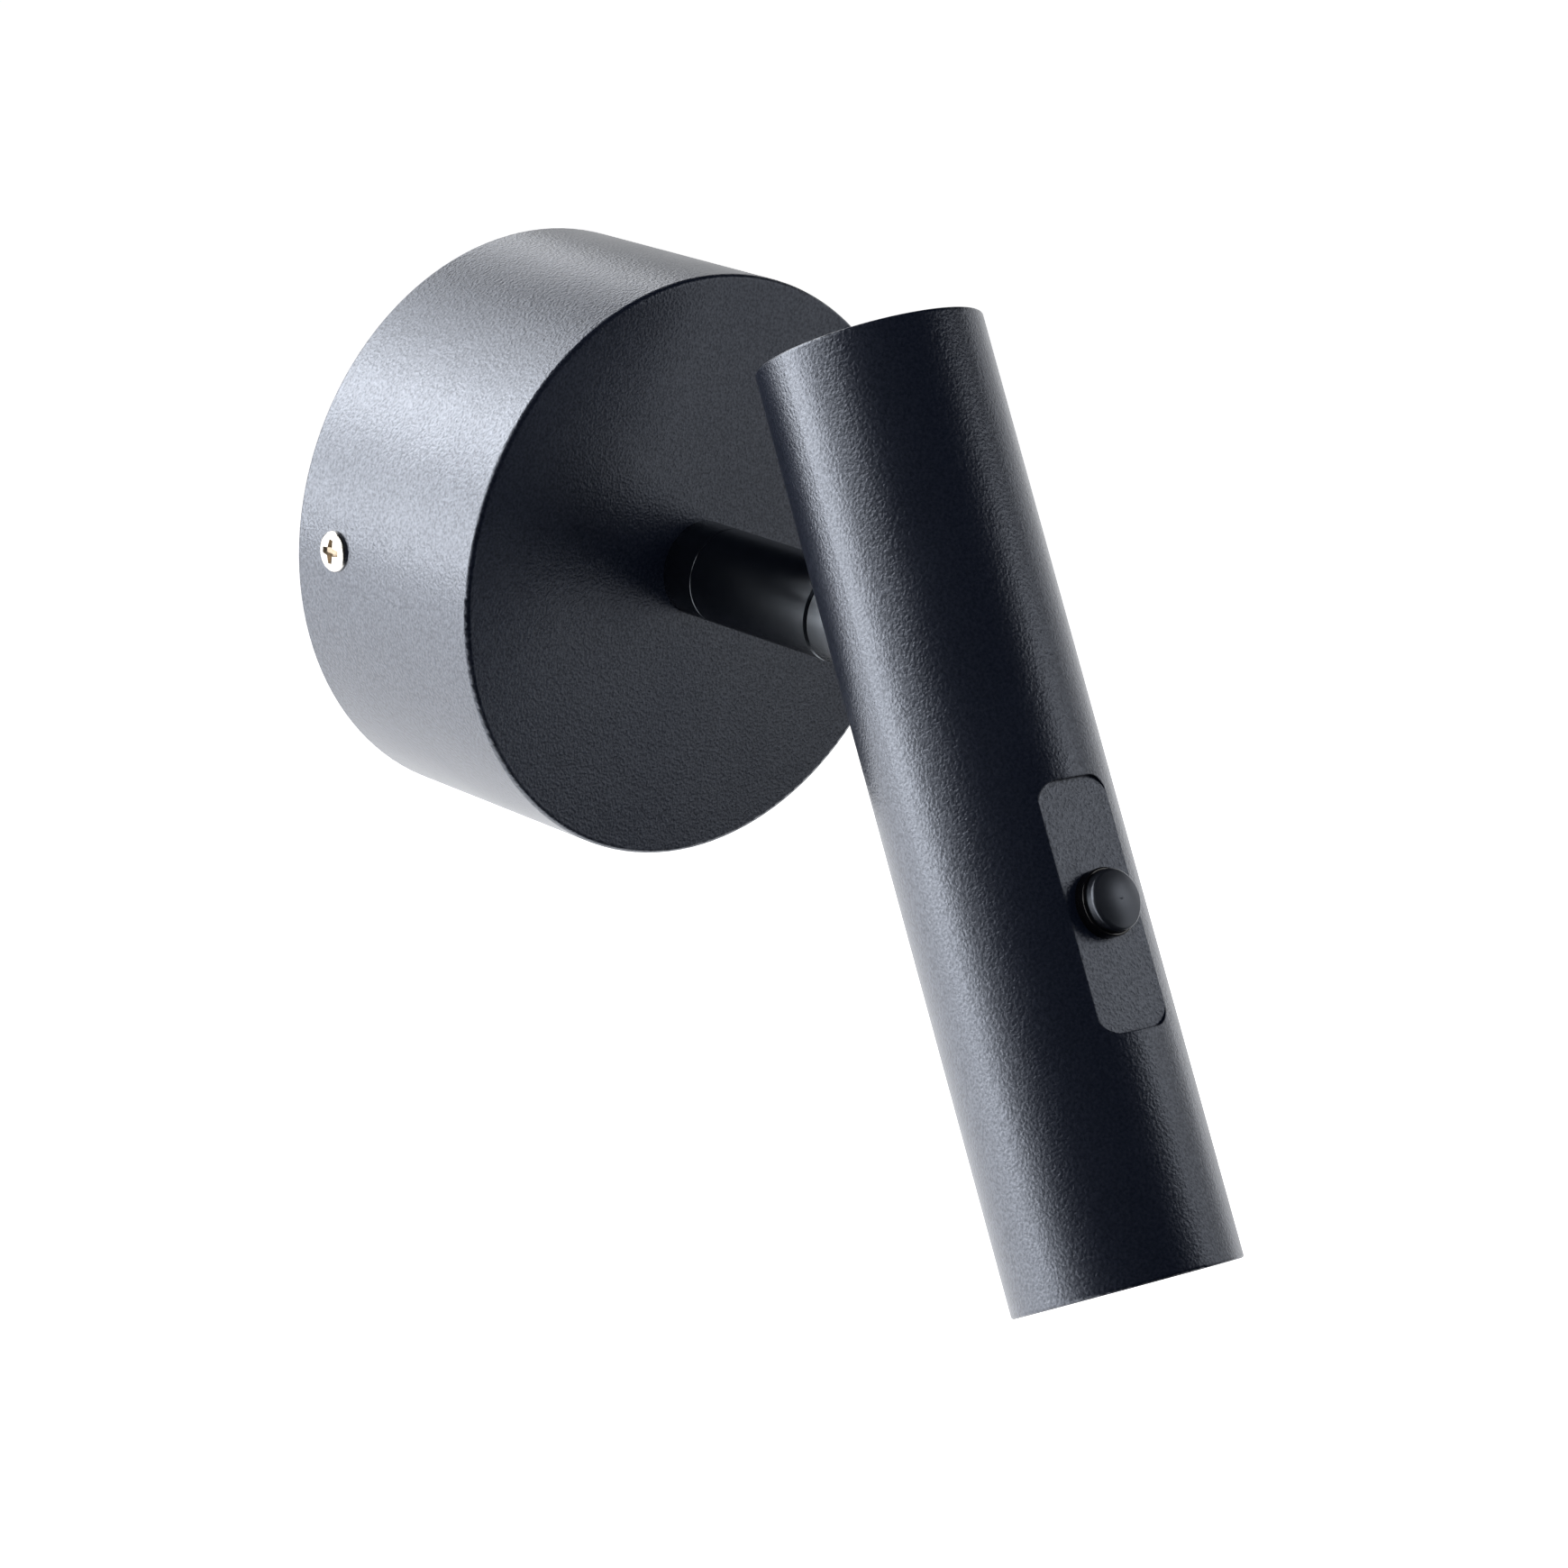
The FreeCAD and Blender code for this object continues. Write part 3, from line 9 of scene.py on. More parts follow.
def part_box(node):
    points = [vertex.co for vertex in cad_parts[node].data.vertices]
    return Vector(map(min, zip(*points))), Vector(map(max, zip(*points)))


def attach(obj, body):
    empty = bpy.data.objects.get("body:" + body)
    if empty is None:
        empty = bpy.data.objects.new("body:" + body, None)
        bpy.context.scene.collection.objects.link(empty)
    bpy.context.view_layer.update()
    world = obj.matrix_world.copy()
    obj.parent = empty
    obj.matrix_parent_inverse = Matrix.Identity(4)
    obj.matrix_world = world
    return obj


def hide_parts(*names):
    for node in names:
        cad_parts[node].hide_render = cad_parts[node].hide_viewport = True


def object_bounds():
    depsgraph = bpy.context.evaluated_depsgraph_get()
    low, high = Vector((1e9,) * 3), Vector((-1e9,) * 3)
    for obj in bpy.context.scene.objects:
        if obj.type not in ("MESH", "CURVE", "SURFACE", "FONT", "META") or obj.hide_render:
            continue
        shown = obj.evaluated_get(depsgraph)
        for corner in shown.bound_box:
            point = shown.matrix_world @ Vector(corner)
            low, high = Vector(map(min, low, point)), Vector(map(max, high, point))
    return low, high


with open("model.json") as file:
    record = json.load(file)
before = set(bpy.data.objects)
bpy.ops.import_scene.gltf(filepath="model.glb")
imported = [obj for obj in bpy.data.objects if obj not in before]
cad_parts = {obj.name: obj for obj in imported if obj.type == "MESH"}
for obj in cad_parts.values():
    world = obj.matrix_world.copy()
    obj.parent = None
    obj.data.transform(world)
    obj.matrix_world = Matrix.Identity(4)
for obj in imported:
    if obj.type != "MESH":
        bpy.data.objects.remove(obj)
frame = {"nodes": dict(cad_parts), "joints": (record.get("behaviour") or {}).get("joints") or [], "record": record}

# The looks of the tube wall light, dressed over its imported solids. Lengths are metres, in
# the solids' own frame: the origin is the centre of the canopy's back on the wall, +Z is
# up and the light stands out along -Y. Every solid gets the finish that its material slot
# names. The canopy screws and the reflector are modelled here in more detail.

MM = 0.001
cad_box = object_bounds()

# ---------------------------------------------------------------- camera
camera_target = Vector((28.2 * MM, -40.0 * MM, -43.3 * MM))
camera_distance = 899.6 * MM
camera_azimuth = -42.67
camera_elevation = 15.52
camera_roll = math.radians(4.13)
camera_lens = 117.68
camera_sensor = 36.0
camera_reach = (0.01, 50.0)

# ---------------------------------------------------------------- screws and reflector
screw_round = 0.6 * MM
screw_crown = 0.35 * MM
recess_reach = 2.3 * MM
recess_root_width = 1.7 * MM
recess_tip_width = 1.05 * MM
recess_depth = 1.0 * MM
recess_tip_depth = 0.75 * MM
recess_taper = 0.72
recess_clear = 0.1 * MM
recess_weld = 0.002 * MM
arm_corners = 3
screw_segments = 96
screw_shank_share = 0.52
screw_crown_shares = (0.25, 0.5, 0.75, 1.0)
screw_rim_turns = (18, 36, 54, 72, 90)
screw_sharp_turn = 35
reflector_wall = 0.9 * MM
reflector_throat = 5.4 * MM
reflector_mouth = 13.6 * MM
reflector_bulge = 1.1 * MM
reflector_rings = 9
reflector_facets = 36
reflector_weld = 0.001 * MM
on_axis = 0.0001 * MM


# ---------------------------------------------------------------- frame helpers
def joint(name):
    """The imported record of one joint."""
    return next(entry for entry in frame["joints"] if entry["name"] == name)


def head_axis():
    """The head's pivot at rest, and the way down the tube from it."""
    inward = Vector(joint("switch_press")["axis"]).normalized()
    down = Vector((1, 0, 0)).cross(-inward)
    return Vector(joint("head_tilt")["pos_m"]), down


def span_along(node, start, direction):
    """How far a node reaches along a direction, nearest and farthest, from a start point."""
    reaches = [(vertex.co - start).dot(direction) for vertex in frame["nodes"][node].data.vertices]
    return min(reaches), max(reaches)


# ---------------------------------------------------------------- material helpers
# At a scale of 1 the wave texture repeats over this length.
wave_length = math.tau / 20
wave_detail = 2.0

# Most of a noise's values lie between these.
noise_middle = (0.3, 0.7)


class Finish:
    """A material under construction, with short ways to add the nodes that most finishes use."""

    def __init__(self, name, **settings):
        self.material = bpy.data.materials.new("finish_" + name)
        self.material.use_nodes = True
        self.nodes = self.material.node_tree.nodes
        self.links = self.material.node_tree.links
        self.shader = self.nodes["Principled BSDF"]
        self.place = self.nodes.new("ShaderNodeTexCoord").outputs["Object"]
        for socket, value in settings.items():
            self.shader.inputs[socket.replace("_", " ")].default_value = value

    def stretched(self, stretch):
        """The object's coordinates, squeezed along an axis so that patterns run long across it."""
        mapping = self.nodes.new("ShaderNodeMapping")
        mapping.inputs["Scale"].default_value = stretch
        self.links.new(self.place, mapping.inputs["Vector"])
        return mapping.outputs["Vector"]

    def noise(self, size, detail=2.0, stretch=None, distortion=0.0):
        """Soft random lumps of about this size, from 0 to 1."""
        texture = self.nodes.new("ShaderNodeTexNoise")
        texture.inputs["Scale"].default_value = 1 / size
        texture.inputs["Detail"].default_value = detail
        texture.inputs["Distortion"].default_value = distortion
        source = self.stretched(stretch) if stretch else self.place
        self.links.new(source, texture.inputs["Vector"])
        return texture.outputs["Fac"]

    def cells(self, size, feature="F1"):
        """The distance to the nearest of many points, in cells of about this size."""
        texture = self.nodes.new("ShaderNodeTexVoronoi")
        texture.feature = feature
        texture.inputs["Scale"].default_value = 1 / size
        self.links.new(self.place, texture.inputs["Vector"])
        return texture.outputs["Distance"]

    def waves(self, size, direction, distortion=0.0):
        """Even lines across a direction, one to each size."""
        texture = self.nodes.new("ShaderNodeTexWave")
        texture.bands_direction = direction
        texture.inputs["Scale"].default_value = wave_length / size
        texture.inputs["Distortion"].default_value = distortion
        texture.inputs["Detail Scale"].default_value = wave_detail
        self.links.new(self.place, texture.inputs["Vector"])
        return texture.outputs["Fac"]

    def remap(self, value, low, high, start=0.0, end=1.0):
        """Carry a value from the range start to end into the range low to high."""
        node = self.nodes.new("ShaderNodeMapRange")
        node.inputs["From Min"].default_value = start
        node.inputs["From Max"].default_value = end
        node.inputs["To Min"].default_value = low
        node.inputs["To Max"].default_value = high
        self.links.new(value, node.inputs["Value"])
        return node.outputs["Result"]

    def blend(self, value, first, second):
        """A colour that runs from first to second as the value runs from 0 to 1."""
        node = self.nodes.new("ShaderNodeMix")
        node.data_type = "RGBA"
        node.inputs["A"].default_value = (*first, 1)
        node.inputs["B"].default_value = (*second, 1)
        self.links.new(value, node.inputs["Factor"])
        return node.outputs["Result"]

    def add(self, first, second, share):
        """The first value plus a share of the second."""
        node = self.nodes.new("ShaderNodeMath")
        node.operation = "MULTIPLY_ADD"
        node.inputs[1].default_value = share
        self.links.new(second, node.inputs[0])
        self.links.new(first, node.inputs[2])
        return node.outputs["Value"]

    def raise_surface(self, height, depth, edge_round=0.0):
        """Bump the surface by a height from 0 to 1, this deep at 1, with its edges rounded over."""
        node = self.nodes.new("ShaderNodeBump")
        node.inputs["Distance"].default_value = depth
        self.links.new(height, node.inputs["Height"])
        if edge_round:
            edges = self.nodes.new("ShaderNodeBevel")
            edges.inputs["Radius"].default_value = edge_round
            self.links.new(edges.outputs["Normal"], node.inputs["Normal"])
        self.links.new(node.outputs["Normal"], self.shader.inputs["Normal"])

    def colour(self, value, first, second):
        self.links.new(self.blend(value, first, second), self.shader.inputs["Base Color"])

    def roughness(self, value, low, high):
        self.links.new(self.remap(value, low, high), self.shader.inputs["Roughness"])

    def shine(self, value, low, high):
        """How strongly the surface reflects, over the middle of a noise's range."""
        level = self.remap(value, low, high, *noise_middle)
        self.links.new(level, self.shader.inputs["Specular IOR Level"])


# ---------------------------------------------------------------- materials
def powder_black():
    """Fine sand-textured powder coat, near black with a cold tint, which rounds every edge.
    The pits between its grains reflect less than their tops."""
    finish = Finish("powder_black", IOR=1.8, Specular_Tint=(0.82, 0.88, 1.0, 1))
    grain = finish.noise(0.50 * MM, 1.0)
    lumps = finish.noise(1.4 * MM, 1.0)
    height = finish.add(grain, lumps, 0.08)
    drift = finish.noise(16 * MM, 3.0)
    finish.colour(finish.add(grain, drift, 0.3), (0.0025, 0.004, 0.009), (0.007, 0.010, 0.022))
    finish.roughness(finish.add(drift, grain, 0.5), 0.27, 0.35)
    finish.shine(grain, 0.55, 1.0)
    finish.raise_surface(height, 0.080 * MM, edge_round=0.35 * MM)
    return finish.material


def satin_black():
    """Smooth satin black lacquer over turned metal."""
    finish = Finish("satin_black", Specular_IOR_Level=1.0, IOR=1.7,
                    Specular_Tint=(0.82, 0.90, 1.0, 1))
    peel = finish.noise(0.9 * MM, 2.0)
    haze = finish.noise(5 * MM, 3.0)
    finish.colour(haze, (0.002, 0.0025, 0.004), (0.005, 0.006, 0.009))
    finish.roughness(finish.add(haze, peel, 0.1), 0.22, 0.26)
    finish.raise_surface(peel, 0.0008 * MM)
    return finish.material


def plated(name, dark, bright, rough, swirl):
    """Plated steel: the plating's cloudy tone, over fine lines left by the tool."""
    finish = Finish(name, Metallic=1.0)
    cloud = finish.noise(3.5 * MM, 4.0, distortion=0.6)
    lines = finish.noise(0.35 * MM, 3.0, stretch=swirl)
    finish.colour(finish.add(cloud, lines, 0.25), dark, bright)
    finish.roughness(finish.add(cloud, lines, 0.4), rough[0], rough[1])
    finish.raise_surface(lines, 0.006 * MM)
    return finish.material


def nickel_steel():
    return plated("nickel_steel", (0.52, 0.50, 0.46), (0.86, 0.84, 0.80), (0.14, 0.30), (1, 6, 1))


def zinc_steel():
    return plated("zinc_steel", (0.34, 0.35, 0.37), (0.54, 0.55, 0.57), (0.30, 0.48), (1, 1, 5))


def black_steel():
    """Black oxide on steel, rubbed brown-grey where it is handled."""
    finish = Finish("black_steel", Metallic=0.6)
    cloud = finish.noise(1.2 * MM, 4.0)
    finish.colour(cloud, (0.020, 0.020, 0.022), (0.060, 0.056, 0.052))
    finish.roughness(cloud, 0.34, 0.52)
    finish.raise_surface(finish.noise(0.2 * MM, 2.0), 0.006 * MM)
    return finish.material


def machined_aluminium():
    """Turned aluminium with the fine rings of the cutting tool."""
    finish = Finish("machined_aluminium", Metallic=1.0)
    rings = finish.waves(0.32 * MM, "Z", 0.4)
    cloud = finish.noise(6 * MM, 3.0)
    finish.colour(finish.add(cloud, rings, 0.2), (0.56, 0.57, 0.58), (0.76, 0.77, 0.78))
    finish.roughness(finish.add(cloud, rings, 0.3), 0.22, 0.38)
    finish.raise_surface(rings, 0.008 * MM)
    return finish.material


def brass():
    finish = Finish("brass", Metallic=1.0)
    cloud = finish.noise(2.0 * MM, 4.0, distortion=0.4)
    lines = finish.noise(0.25 * MM, 2.0, stretch=(1, 1, 6))
    finish.colour(finish.add(cloud, lines, 0.2), (0.52, 0.36, 0.14), (0.80, 0.62, 0.32))
    finish.roughness(cloud, 0.20, 0.36)
    finish.raise_surface(lines, 0.006 * MM)
    return finish.material


def moulded(name, dark, light, rough, texture, depth, **settings):
    """Moulded plastic or rubber: a faint drift of tone and the mould's spark-eroded grain."""
    finish = Finish(name, **settings)
    drift = finish.noise(7 * MM, 3.0)
    grain = finish.noise(texture, 3.0)
    finish.colour(finish.add(drift, grain, 0.25), dark, light)
    finish.roughness(finish.add(drift, grain, 0.4), rough[0], rough[1])
    finish.raise_surface(grain, depth)
    return finish.material


def gloss_black_plastic():
    return moulded("gloss_black_plastic", (0.002, 0.002, 0.0025), (0.005, 0.005, 0.006),
                   (0.07, 0.13), 1.4 * MM, 0.002 * MM, Specular_IOR_Level=0.6)


def satin_black_plastic():
    return moulded("satin_black_plastic", (0.006, 0.007, 0.010), (0.014, 0.016, 0.022),
                   (0.30, 0.36), 0.25 * MM, 0.002 * MM, Specular_IOR_Level=1.0, IOR=1.7,
                   Specular_Tint=(0.80, 0.87, 1.0, 1))


def white_plastic():
    return moulded("white_plastic", (0.72, 0.72, 0.70), (0.84, 0.84, 0.82), (0.38, 0.50),
                   0.30 * MM, 0.010 * MM, Subsurface_Weight=0.05)


def nylon():
    return moulded("nylon", (0.66, 0.65, 0.58), (0.80, 0.79, 0.73), (0.34, 0.48),
                   0.40 * MM, 0.008 * MM, Subsurface_Weight=0.10)


def black_rubber():
    return moulded("black_rubber", (0.014, 0.014, 0.015), (0.030, 0.030, 0.031), (0.62, 0.80),
                   0.22 * MM, 0.014 * MM)


def thermal_grey():
    return moulded("thermal_grey", (0.34, 0.36, 0.40), (0.50, 0.52, 0.55), (0.66, 0.82),
                   0.35 * MM, 0.012 * MM)


def ceramic():
    return moulded("ceramic", (0.80, 0.80, 0.78), (0.90, 0.90, 0.88), (0.26, 0.36),
                   0.18 * MM, 0.004 * MM)


track_spacing = 3.2 * MM
track_edge = (0.06, 0.11)


def board(name, mask, trace, gloss):
    """A circuit board: solder mask with the copper's tracks showing through as a lighter tone."""
    finish = Finish(name)
    edges = finish.cells(track_spacing, "DISTANCE_TO_EDGE")
    tracks = finish.remap(edges, 1.0, 0.0, *track_edge)
    weave = finish.noise(0.4 * MM, 2.0)
    finish.colour(finish.add(tracks, weave, 0.12), mask, trace)
    finish.roughness(weave, gloss, gloss + 0.12)
    finish.raise_surface(finish.add(tracks, weave, 0.2), 0.020 * MM)
    return finish.material


def board_green():
    return board("board_green", (0.012, 0.105, 0.045), (0.050, 0.210, 0.095), 0.22)


def board_white():
    return board("board_white", (0.80, 0.80, 0.78), (0.87, 0.87, 0.86), 0.30)


def phosphor():
    """Silicone full of yellow phosphor grains."""
    finish = Finish("phosphor", Subsurface_Weight=0.15)
    grains = finish.cells(0.22 * MM)
    finish.colour(grains, (0.62, 0.42, 0.05), (0.92, 0.72, 0.16))
    finish.roughness(finish.noise(0.5 * MM), 0.34, 0.48)
    finish.raise_surface(grains, 0.010 * MM)
    return finish.material


def reflector_metal():
    """Vacuum-metallised plastic, bright with a faint orange peel."""
    finish = Finish("reflector_metal", Metallic=1.0)
    peel = finish.noise(1.1 * MM, 2.0)
    finish.colour(peel, (0.80, 0.80, 0.81), (0.90, 0.90, 0.91))
    finish.roughness(peel, 0.06, 0.14)
    finish.raise_surface(peel, 0.004 * MM)
    return finish.material


def clear_glass():
    """Clear pressed glass with a very slight ripple."""
    finish = Finish("clear_glass", Transmission_Weight=1.0, IOR=1.5)
    ripple = finish.noise(2.6 * MM, 2.0)
    finish.colour(ripple, (0.93, 0.96, 0.96), (0.98, 0.99, 0.99))
    finish.roughness(ripple, 0.015, 0.05)
    finish.raise_surface(ripple, 0.004 * MM)
    return finish.material


def sleeving(name, dark, light):
    """Extruded lead sleeving, slightly glossy with faint streaks."""
    finish = Finish(name)
    streaks = finish.noise(0.6 * MM, 3.0, stretch=(3, 3, 1))
    finish.colour(streaks, dark, light)
    finish.roughness(streaks, 0.34, 0.48)
    finish.raise_surface(streaks, 0.006 * MM)
    return finish.material


def lead_brown():
    return sleeving("lead_brown", (0.13, 0.055, 0.025), (0.22, 0.10, 0.05))


def lead_green():
    """Earth sleeving: green with its yellow stripe wound along it."""
    finish = Finish("lead_green")
    stripe = finish.remap(finish.waves(2.4 * MM, "DIAGONAL", 1.0), 0, 1, 0.45, 0.55)
    finish.colour(stripe, (0.05, 0.30, 0.08), (0.78, 0.66, 0.08))
    finish.roughness(finish.noise(0.6 * MM), 0.34, 0.48)
    finish.raise_surface(finish.noise(0.5 * MM), 0.005 * MM)
    return finish.material


def lead_white():
    return sleeving("lead_white", (0.70, 0.70, 0.68), (0.84, 0.84, 0.82))


def painted_shade_recess():
    """Painted shade: the floor of a screw's recess, coloured a darker brown than the bright plating to stand for
    the shade that falls into it.
    """
    finish = Finish("painted_shade_recess", Metallic=0.85)
    # Both browns are painted shade, mottled at random over the recess floor.
    shade_mottle = finish.noise(0.5 * MM, 3.0)
    finish.colour(shade_mottle, (0.26, 0.20, 0.13), (0.62, 0.53, 0.42))
    finish.roughness(shade_mottle, 0.34, 0.50)
    finish.raise_surface(shade_mottle, 0.02 * MM)
    return finish.material


makers = {
    "powder_black": powder_black,
    "satin_black": satin_black,
    "nickel_steel": nickel_steel,
    "zinc_steel": zinc_steel,
    "black_steel": black_steel,
    "machined_aluminium": machined_aluminium,
    "brass": brass,
    "gloss_black_plastic": gloss_black_plastic,
    "satin_black_plastic": satin_black_plastic,
    "white_plastic": white_plastic,
    "nylon": nylon,
    "black_rubber": black_rubber,
    "board_green": board_green,
    "board_white": board_white,
    "thermal_grey": thermal_grey,
    "ceramic": ceramic,
    "phosphor": phosphor,
    "reflector_metal": reflector_metal,
    "clear_glass": clear_glass,
    "lead_brown": lead_brown,
    "lead_green": lead_green,
    "lead_white": lead_white,
}


def dress_nodes():
    """Give every CAD node the finish of its slot in the record. Returns the finishes."""
    finishes = {slot: make() for slot, make in makers.items()}
    for part in frame["record"]["subparts"]:
        node = frame["nodes"][part["node"]]
        node.data.materials.clear()
        node.data.materials.append(finishes[part["material_slot"]])
    return finishes


# ---------------------------------------------------------------- mesh helpers
def lathe(profile, segments, twist=None):
    """A bmesh turned about +Z from (radius, height) points. Each ring can turn by a share of a step."""
    mesh = bmesh.new()
    rings = []
    for index, (radius, height) in enumerate(profile):
        offset = twist[index] if twist else 0.0
        if radius < on_axis:
            rings.append([mesh.verts.new((0, 0, height))])
            continue
        ring = []
        for step in range(segments):
            angle = math.tau * (step + offset) / segments
            x, y = radius * math.cos(angle), radius * math.sin(angle)
            ring.append(mesh.verts.new((x, y, height)))
        rings.append(ring)
    for lower, upper in zip(rings, rings[1:]):
        join_rings(mesh, lower, upper, segments)
    return mesh


def join_rings(mesh, lower, upper, segments):
    """Faces between two rings, either of which may be a single point."""
    for step in range(segments):
        after = (step + 1) % segments
        if len(lower) == 1:
            mesh.faces.new((lower[0], upper[after], upper[step]))
        elif len(upper) == 1:
            mesh.faces.new((lower[step], lower[after], upper[0]))
        else:
            mesh.faces.new((lower[step], lower[after], upper[after], upper[step]))


def new_piece(name, mesh):
    """An object in the scene that holds the finished bmesh."""
    data = bpy.data.meshes.new(name)
    mesh.to_mesh(data)
    mesh.free()
    piece = bpy.data.objects.new(name, data)
    bpy.context.scene.collection.objects.link(piece)
    return piece


def settle(piece):
    """Apply the piece's modifiers to its mesh."""
    graph = bpy.context.evaluated_depsgraph_get()
    settled = bpy.data.meshes.new_from_object(piece.evaluated_get(graph))
    piece.modifiers.clear()
    piece.data = settled


# ---------------------------------------------------------------- canopy screws
def screw_profile(head_radius, head_height, shank_radius, length):
    """The pan head's crown and rounded rim, then the shank, from the top down."""
    profile = [(0.0, head_height)]
    flat = head_radius - screw_round
    rim_top = head_height - screw_crown
    for share in screw_crown_shares:
        profile.append((flat * share, head_height - screw_crown * share ** 2))
    for turn in screw_rim_turns:
        angle = math.radians(turn)
        out = flat + screw_round * math.sin(angle)
        profile.append((out, rim_top - screw_round * (1 - math.cos(angle))))
    profile.append((head_radius, 0.0))
    profile.append((shank_radius, 0.0))
    profile.append((shank_radius, -length))
    profile.append((0.0, -length))
    return profile


def recess_ring(mesh, scale, height):
    """The cross's corners arm by arm and its centre, each at the height for its reach."""
    narrowing = (recess_root_width - recess_tip_width) / 2 / recess_reach
    inner = recess_root_width / 2 / (1 + narrowing)
    half_tip = recess_tip_width / 2
    corners = []
    for quarter in range(4):
        turn = Matrix.Rotation(math.radians(90 * quarter), 4, "Z")
        for reach, side in ((recess_reach, -half_tip), (recess_reach, half_tip), (inner, inner)):
            corner = Vector((reach * scale, side * scale, height(reach)))
            corners.append(mesh.verts.new(turn @ corner))
    return corners, mesh.verts.new((0, 0, height(0)))


def recess_cutter(top):
    """A tapered cross, wide and deep at its middle, that cuts the recess from the top down."""
    mesh = bmesh.new()
    rise = (recess_depth - recess_tip_depth) / recess_reach
    floor = top - recess_depth
    upper, upper_centre = recess_ring(mesh, 1.0, lambda reach: top + recess_clear)
    lower, lower_centre = recess_ring(mesh, recess_taper, lambda reach: floor + rise * reach)
    for ring, centre in ((upper, upper_centre), (lower, lower_centre)):
        for arm in range(0, len(ring), arm_corners):
            mesh.faces.new((centre, ring[arm - 1], ring[arm], ring[arm + 1], ring[arm + 2]))
    for step in range(len(upper)):
        mesh.faces.new((upper[step - 1], upper[step], lower[step], lower[step - 1]))
    bmesh.ops.triangulate(mesh, faces=mesh.faces)
    bmesh.ops.recalc_face_normals(mesh, faces=mesh.faces)
    return mesh


def make_canopy_screws(finishes):
    """Both canopy screws as one piece, where the solids hold them."""
    low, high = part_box("canopy_screws")
    head_radius = (high.z - low.z) / 2
    shell_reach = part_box("canopy_shell")[1].x
    head_height = high.x - shell_reach
    centre_y = (low.y + high.y) / 2
    shank_radius = head_radius * screw_shank_share
    length = min(abs(vertex.co.x) for vertex in frame["nodes"]["canopy_screws"].data.vertices)
    profile = screw_profile(head_radius, head_height, shank_radius, shell_reach - length)
    mesh = lathe(profile, screw_segments)
    bmesh.ops.recalc_face_normals(mesh, faces=mesh.faces)
    screw = new_piece("screw_blank", mesh)
    cutter = new_piece("screw_cutter", recess_cutter(head_height))
    # The cutter's faces become the recess floor, which carries the painted shade of the recess.
    for piece, finish in ((screw, finishes["nickel_steel"]), (cutter, painted_shade_recess())):
        piece.data.materials.append(finish)
    cut = screw.modifiers.new("recess", "BOOLEAN")
    cut.operation = "DIFFERENCE"
    cut.solver = "EXACT"
    cut.material_mode = "TRANSFER"
    cut.object = cutter
    settle(screw)
    bpy.data.objects.remove(cutter)
    weld(screw.data)
    both = bmesh.new()
    for side in (-1, 1):
        turn = Vector((0, 0, 1)).rotation_difference(Vector((side, 0, 0))).to_matrix().to_4x4()
        place = Matrix.Translation((side * shell_reach, centre_y, 0)) @ turn
        half = screw.data.copy()
        half.transform(place)
        both.from_mesh(half)
    piece = new_piece("cross_head_screws", both)
    for finish in screw.data.materials:
        piece.data.materials.append(finish)
    bpy.data.objects.remove(screw)
    smooth_by_angle(piece, screw_sharp_turn)
    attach(piece, "canopy")
    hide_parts("canopy_screws")


def weld(data):
    """Join the points that a cut left a hair apart, so that no sliver of a face stays."""
    mesh = bmesh.new()
    mesh.from_mesh(data)
    bmesh.ops.remove_doubles(mesh, verts=mesh.verts, dist=recess_weld)
    bmesh.ops.dissolve_degenerate(mesh, edges=mesh.edges, dist=recess_weld)
    mesh.to_mesh(data)
    mesh.free()


def smooth_by_angle(piece, degrees):
    """Smooth faces, with edges kept sharp where they turn by more than the angle."""
    mesh = bmesh.new()
    mesh.from_mesh(piece.data)
    for face in mesh.faces:
        face.smooth = True
    for edge in mesh.edges:
        edge.smooth = edge.calc_face_angle(math.pi) < math.radians(degrees)
    mesh.to_mesh(piece.data)
    mesh.free()


# ---------------------------------------------------------------- reflector
def make_reflector(finishes):
    """The bowl with rows of small flat facets, as a metallised spot reflector has."""
    pivot, down = head_axis()
    near, far = span_along("reflector", pivot, down)
    depth = far - near
    rim = max(abs(vertex.co.x) for vertex in frame["nodes"]["reflector"].data.vertices)
    inner = []
    for ring in range(reflector_rings + 1):
        share = ring / reflector_rings
        bulge = reflector_bulge * math.sin(math.pi * share)
        radius = reflector_throat + (reflector_mouth - reflector_throat) * share + bulge
        inner.append((radius, depth * share))
    outer = [(radius + reflector_wall, height) for radius, height in inner]
    outer[-1] = (outer[-1][0], depth - reflector_wall)
    profile = inner + [(rim, depth), (rim, depth - reflector_wall)] + outer[::-1] + [inner[0]]
    twist = [ring % 2 / 2 for ring in range(len(inner))]
    twist += [twist[-1]] * (len(profile) - len(inner) - 1) + [twist[0]]
    mesh = lathe(profile, reflector_facets, twist)
    bmesh.ops.remove_doubles(mesh, verts=mesh.verts, dist=reflector_weld)
    bmesh.ops.triangulate(mesh, faces=mesh.faces)
    bmesh.ops.recalc_face_normals(mesh, faces=mesh.faces)
    turn = Vector((0, 0, 1)).rotation_difference(down).to_matrix().to_4x4()
    mesh.transform(Matrix.Translation(pivot + down * near) @ turn)
    piece = new_piece("faceted_reflector", mesh)
    piece.data.materials.append(finishes["reflector_metal"])
    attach(piece, "head")
    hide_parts("reflector")


# ---------------------------------------------------------------- stage
floor_height = -0.45
floor_sides = (-9.0, 9.0)
floor_front_and_back = (-0.2, 14.0)
floor_colour = (0.86, 0.86, 0.87)
floor_roughness = 0.8
white = (1, 1, 1, 1)
backdrop_direction = Vector((0.65, 0.71, -0.10)).normalized()
backdrop_edge = math.cos(math.radians(33))
backdrop_core = math.cos(math.radians(23))
room = (0.007, 0.008, 0.010)

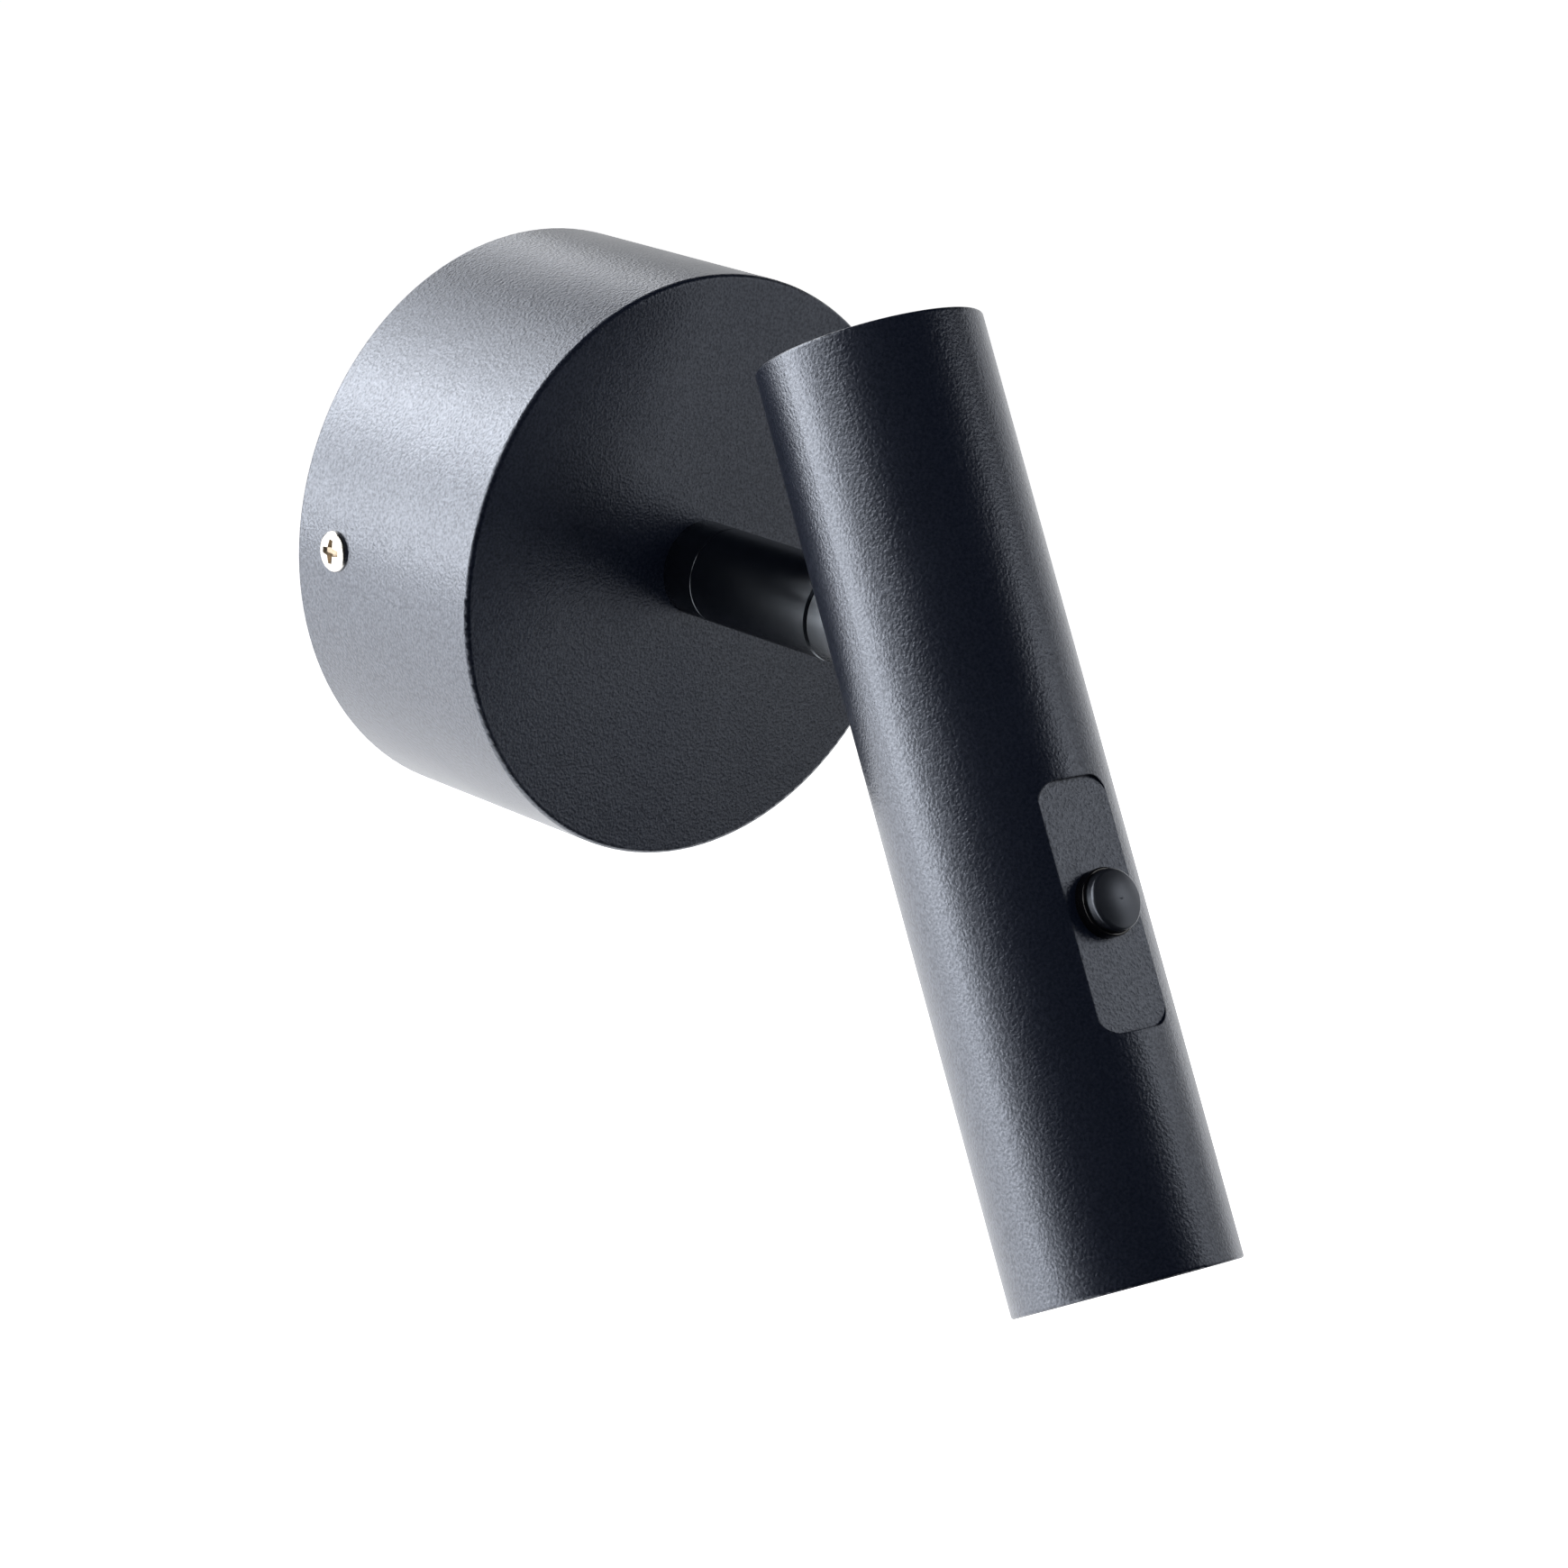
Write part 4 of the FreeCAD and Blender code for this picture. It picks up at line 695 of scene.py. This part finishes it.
# Each lamp: azimuth and elevation of where it stands, seen from the object, its distance,
# its width and height, and its power in watts.
lamps = {
    "key": (-125, -2, 1.5, (0.7, 0.8), 6.4),
    "key_back": (-145, 12, 1.5, (0.7, 1.1), 9.5),
    "key_high": (-146, 32, 1.5, (0.7, 0.7), 4.5),
    "key_side": (-105, 24, 1.5, (0.7, 0.7), 4.2),
    "back_high": (-166, 31, 1.5, (0.8, 1.0), 7.5),
    "back_right": (160, 24, 1.5, (0.7, 0.7), 3.7),
    "right": (97, 6, 1.5, (1.2, 0.9), 3.0),
    "front": (48, 4, 0.4, (0.20, 0.40), 0.15),
    "front_high": (48, 25, 0.8, (0.25, 0.25), 0.14),
}

# Fills light the matt colours alone, so that the coat's dark reflections stay dark.
fills = {
    "fill_camera_side": (-35, 35, 1.5, (1.2, 1.2), 9),
    "fill_right": (45, 25, 1.5, (1.0, 1.0), 4),
}


def combine(tree, operation, first, second):
    """Two values put together, such as by MULTIPLY, or by MAXIMUM for the larger."""
    node = tree.nodes.new("ShaderNodeMath")
    node.operation = operation
    tree.links.new(first, node.inputs[0])
    tree.links.new(second, node.inputs[1])
    return node.outputs["Value"]


def looked_at(tree, path):
    """1 for rays from the camera, straight or through glass, and 0 for all others."""
    straight = path.outputs["Is Camera Ray"]
    return combine(tree, "MAXIMUM", straight, path.outputs["Is Transmission Ray"])


def toward_backdrop(tree):
    """1 for rays that leave towards the backdrop behind the object, 0 for the rest of the room."""
    ray = tree.nodes.new("ShaderNodeTexCoord").outputs["Generated"]
    dot = tree.nodes.new("ShaderNodeVectorMath")
    dot.operation = "DOT_PRODUCT"
    dot.inputs[1].default_value = backdrop_direction
    tree.links.new(ray, dot.inputs[0])
    edge = tree.nodes.new("ShaderNodeMapRange")
    edge.interpolation_type = "SMOOTHSTEP"
    edge.inputs["From Min"].default_value = backdrop_edge
    edge.inputs["From Max"].default_value = backdrop_core
    tree.links.new(dot.outputs["Value"], edge.inputs["Value"])
    return edge.outputs["Result"]


def make_world():
    """A dim room, white to the camera and through glass, and white behind the object in mirrors."""
    world = bpy.data.worlds.new("studio")
    bpy.context.scene.world = world
    world.use_nodes = True
    tree = world.node_tree
    path = tree.nodes.new("ShaderNodeLightPath")
    mirrored = combine(tree, "MULTIPLY", path.outputs["Is Glossy Ray"], toward_backdrop(tree))
    shown = combine(tree, "MAXIMUM", looked_at(tree, path), mirrored)
    tone = tree.nodes.new("ShaderNodeMix")
    tone.data_type = "RGBA"
    tone.inputs["A"].default_value = (*room, 1)
    tone.inputs["B"].default_value = white
    tree.links.new(shown, tone.inputs["Factor"])
    tree.links.new(tone.outputs["Result"], tree.nodes["Background"].inputs["Color"])


def make_floor():
    """A pale floor that takes the object's shadow, and glows white where it is seen or mirrored."""
    mesh = bmesh.new()
    corners = [(x, y, floor_height) for x in floor_sides for y in floor_front_and_back]
    verts = [mesh.verts.new(corners[index]) for index in (0, 2, 3, 1)]
    mesh.faces.new(verts)
    floor = new_piece("floor", mesh)
    material = bpy.data.materials.new("floor")
    material.use_nodes = True
    tree = material.node_tree
    shader = tree.nodes["Principled BSDF"]
    shader.inputs["Base Color"].default_value = (*floor_colour, 1)
    shader.inputs["Roughness"].default_value = floor_roughness
    path = tree.nodes.new("ShaderNodeLightPath")
    glow = combine(tree, "MAXIMUM", looked_at(tree, path), path.outputs["Is Glossy Ray"])
    shader.inputs["Emission Color"].default_value = white
    tree.links.new(glow, shader.inputs["Emission Strength"])
    floor.data.materials.append(material)


def direction(azimuth, elevation):
    """The way out to a place round the object, as the views count it."""
    a = math.radians(azimuth)
    e = math.radians(elevation)
    return Vector((math.sin(a) * math.cos(e), -math.cos(a) * math.cos(e), math.sin(e)))


def make_lamp(name, azimuth, elevation, distance, size, power):
    data = bpy.data.lights.new(name, "AREA")
    data.shape = "RECTANGLE"
    data.size, data.size_y = size
    data.energy = power
    lamp = bpy.data.objects.new(name, data)
    bpy.context.scene.collection.objects.link(lamp)
    centre = (cad_box[0] + cad_box[1]) / 2
    outward = direction(azimuth, elevation)
    lamp.location = centre + outward * distance
    lamp.rotation_mode = "QUATERNION"
    lamp.rotation_quaternion = (-outward).to_track_quat("-Z", "Y")
    lamp.visible_camera = False
    return lamp


def make_camera():
    data = bpy.data.cameras.new("camera")
    data.lens = camera_lens
    data.sensor_width = camera_sensor
    data.clip_start, data.clip_end = camera_reach
    camera = bpy.data.objects.new("camera", data)
    bpy.context.scene.collection.objects.link(camera)
    back = direction(camera_azimuth, camera_elevation)
    camera.location = camera_target + back * camera_distance
    camera.rotation_mode = "QUATERNION"
    level = (-back).to_track_quat("-Z", "Y")
    camera.rotation_quaternion = level @ Quaternion((0, 0, 1), camera_roll)
    bpy.context.scene.camera = camera


finishes = dress_nodes()
make_canopy_screws(finishes)
make_reflector(finishes)
make_camera()
make_world()
make_floor()
for name, settings in lamps.items():
    make_lamp(name, *settings)
for name, settings in fills.items():
    make_lamp(name, *settings).visible_glossy = False
bpy.context.scene.view_settings.view_transform = "Standard"
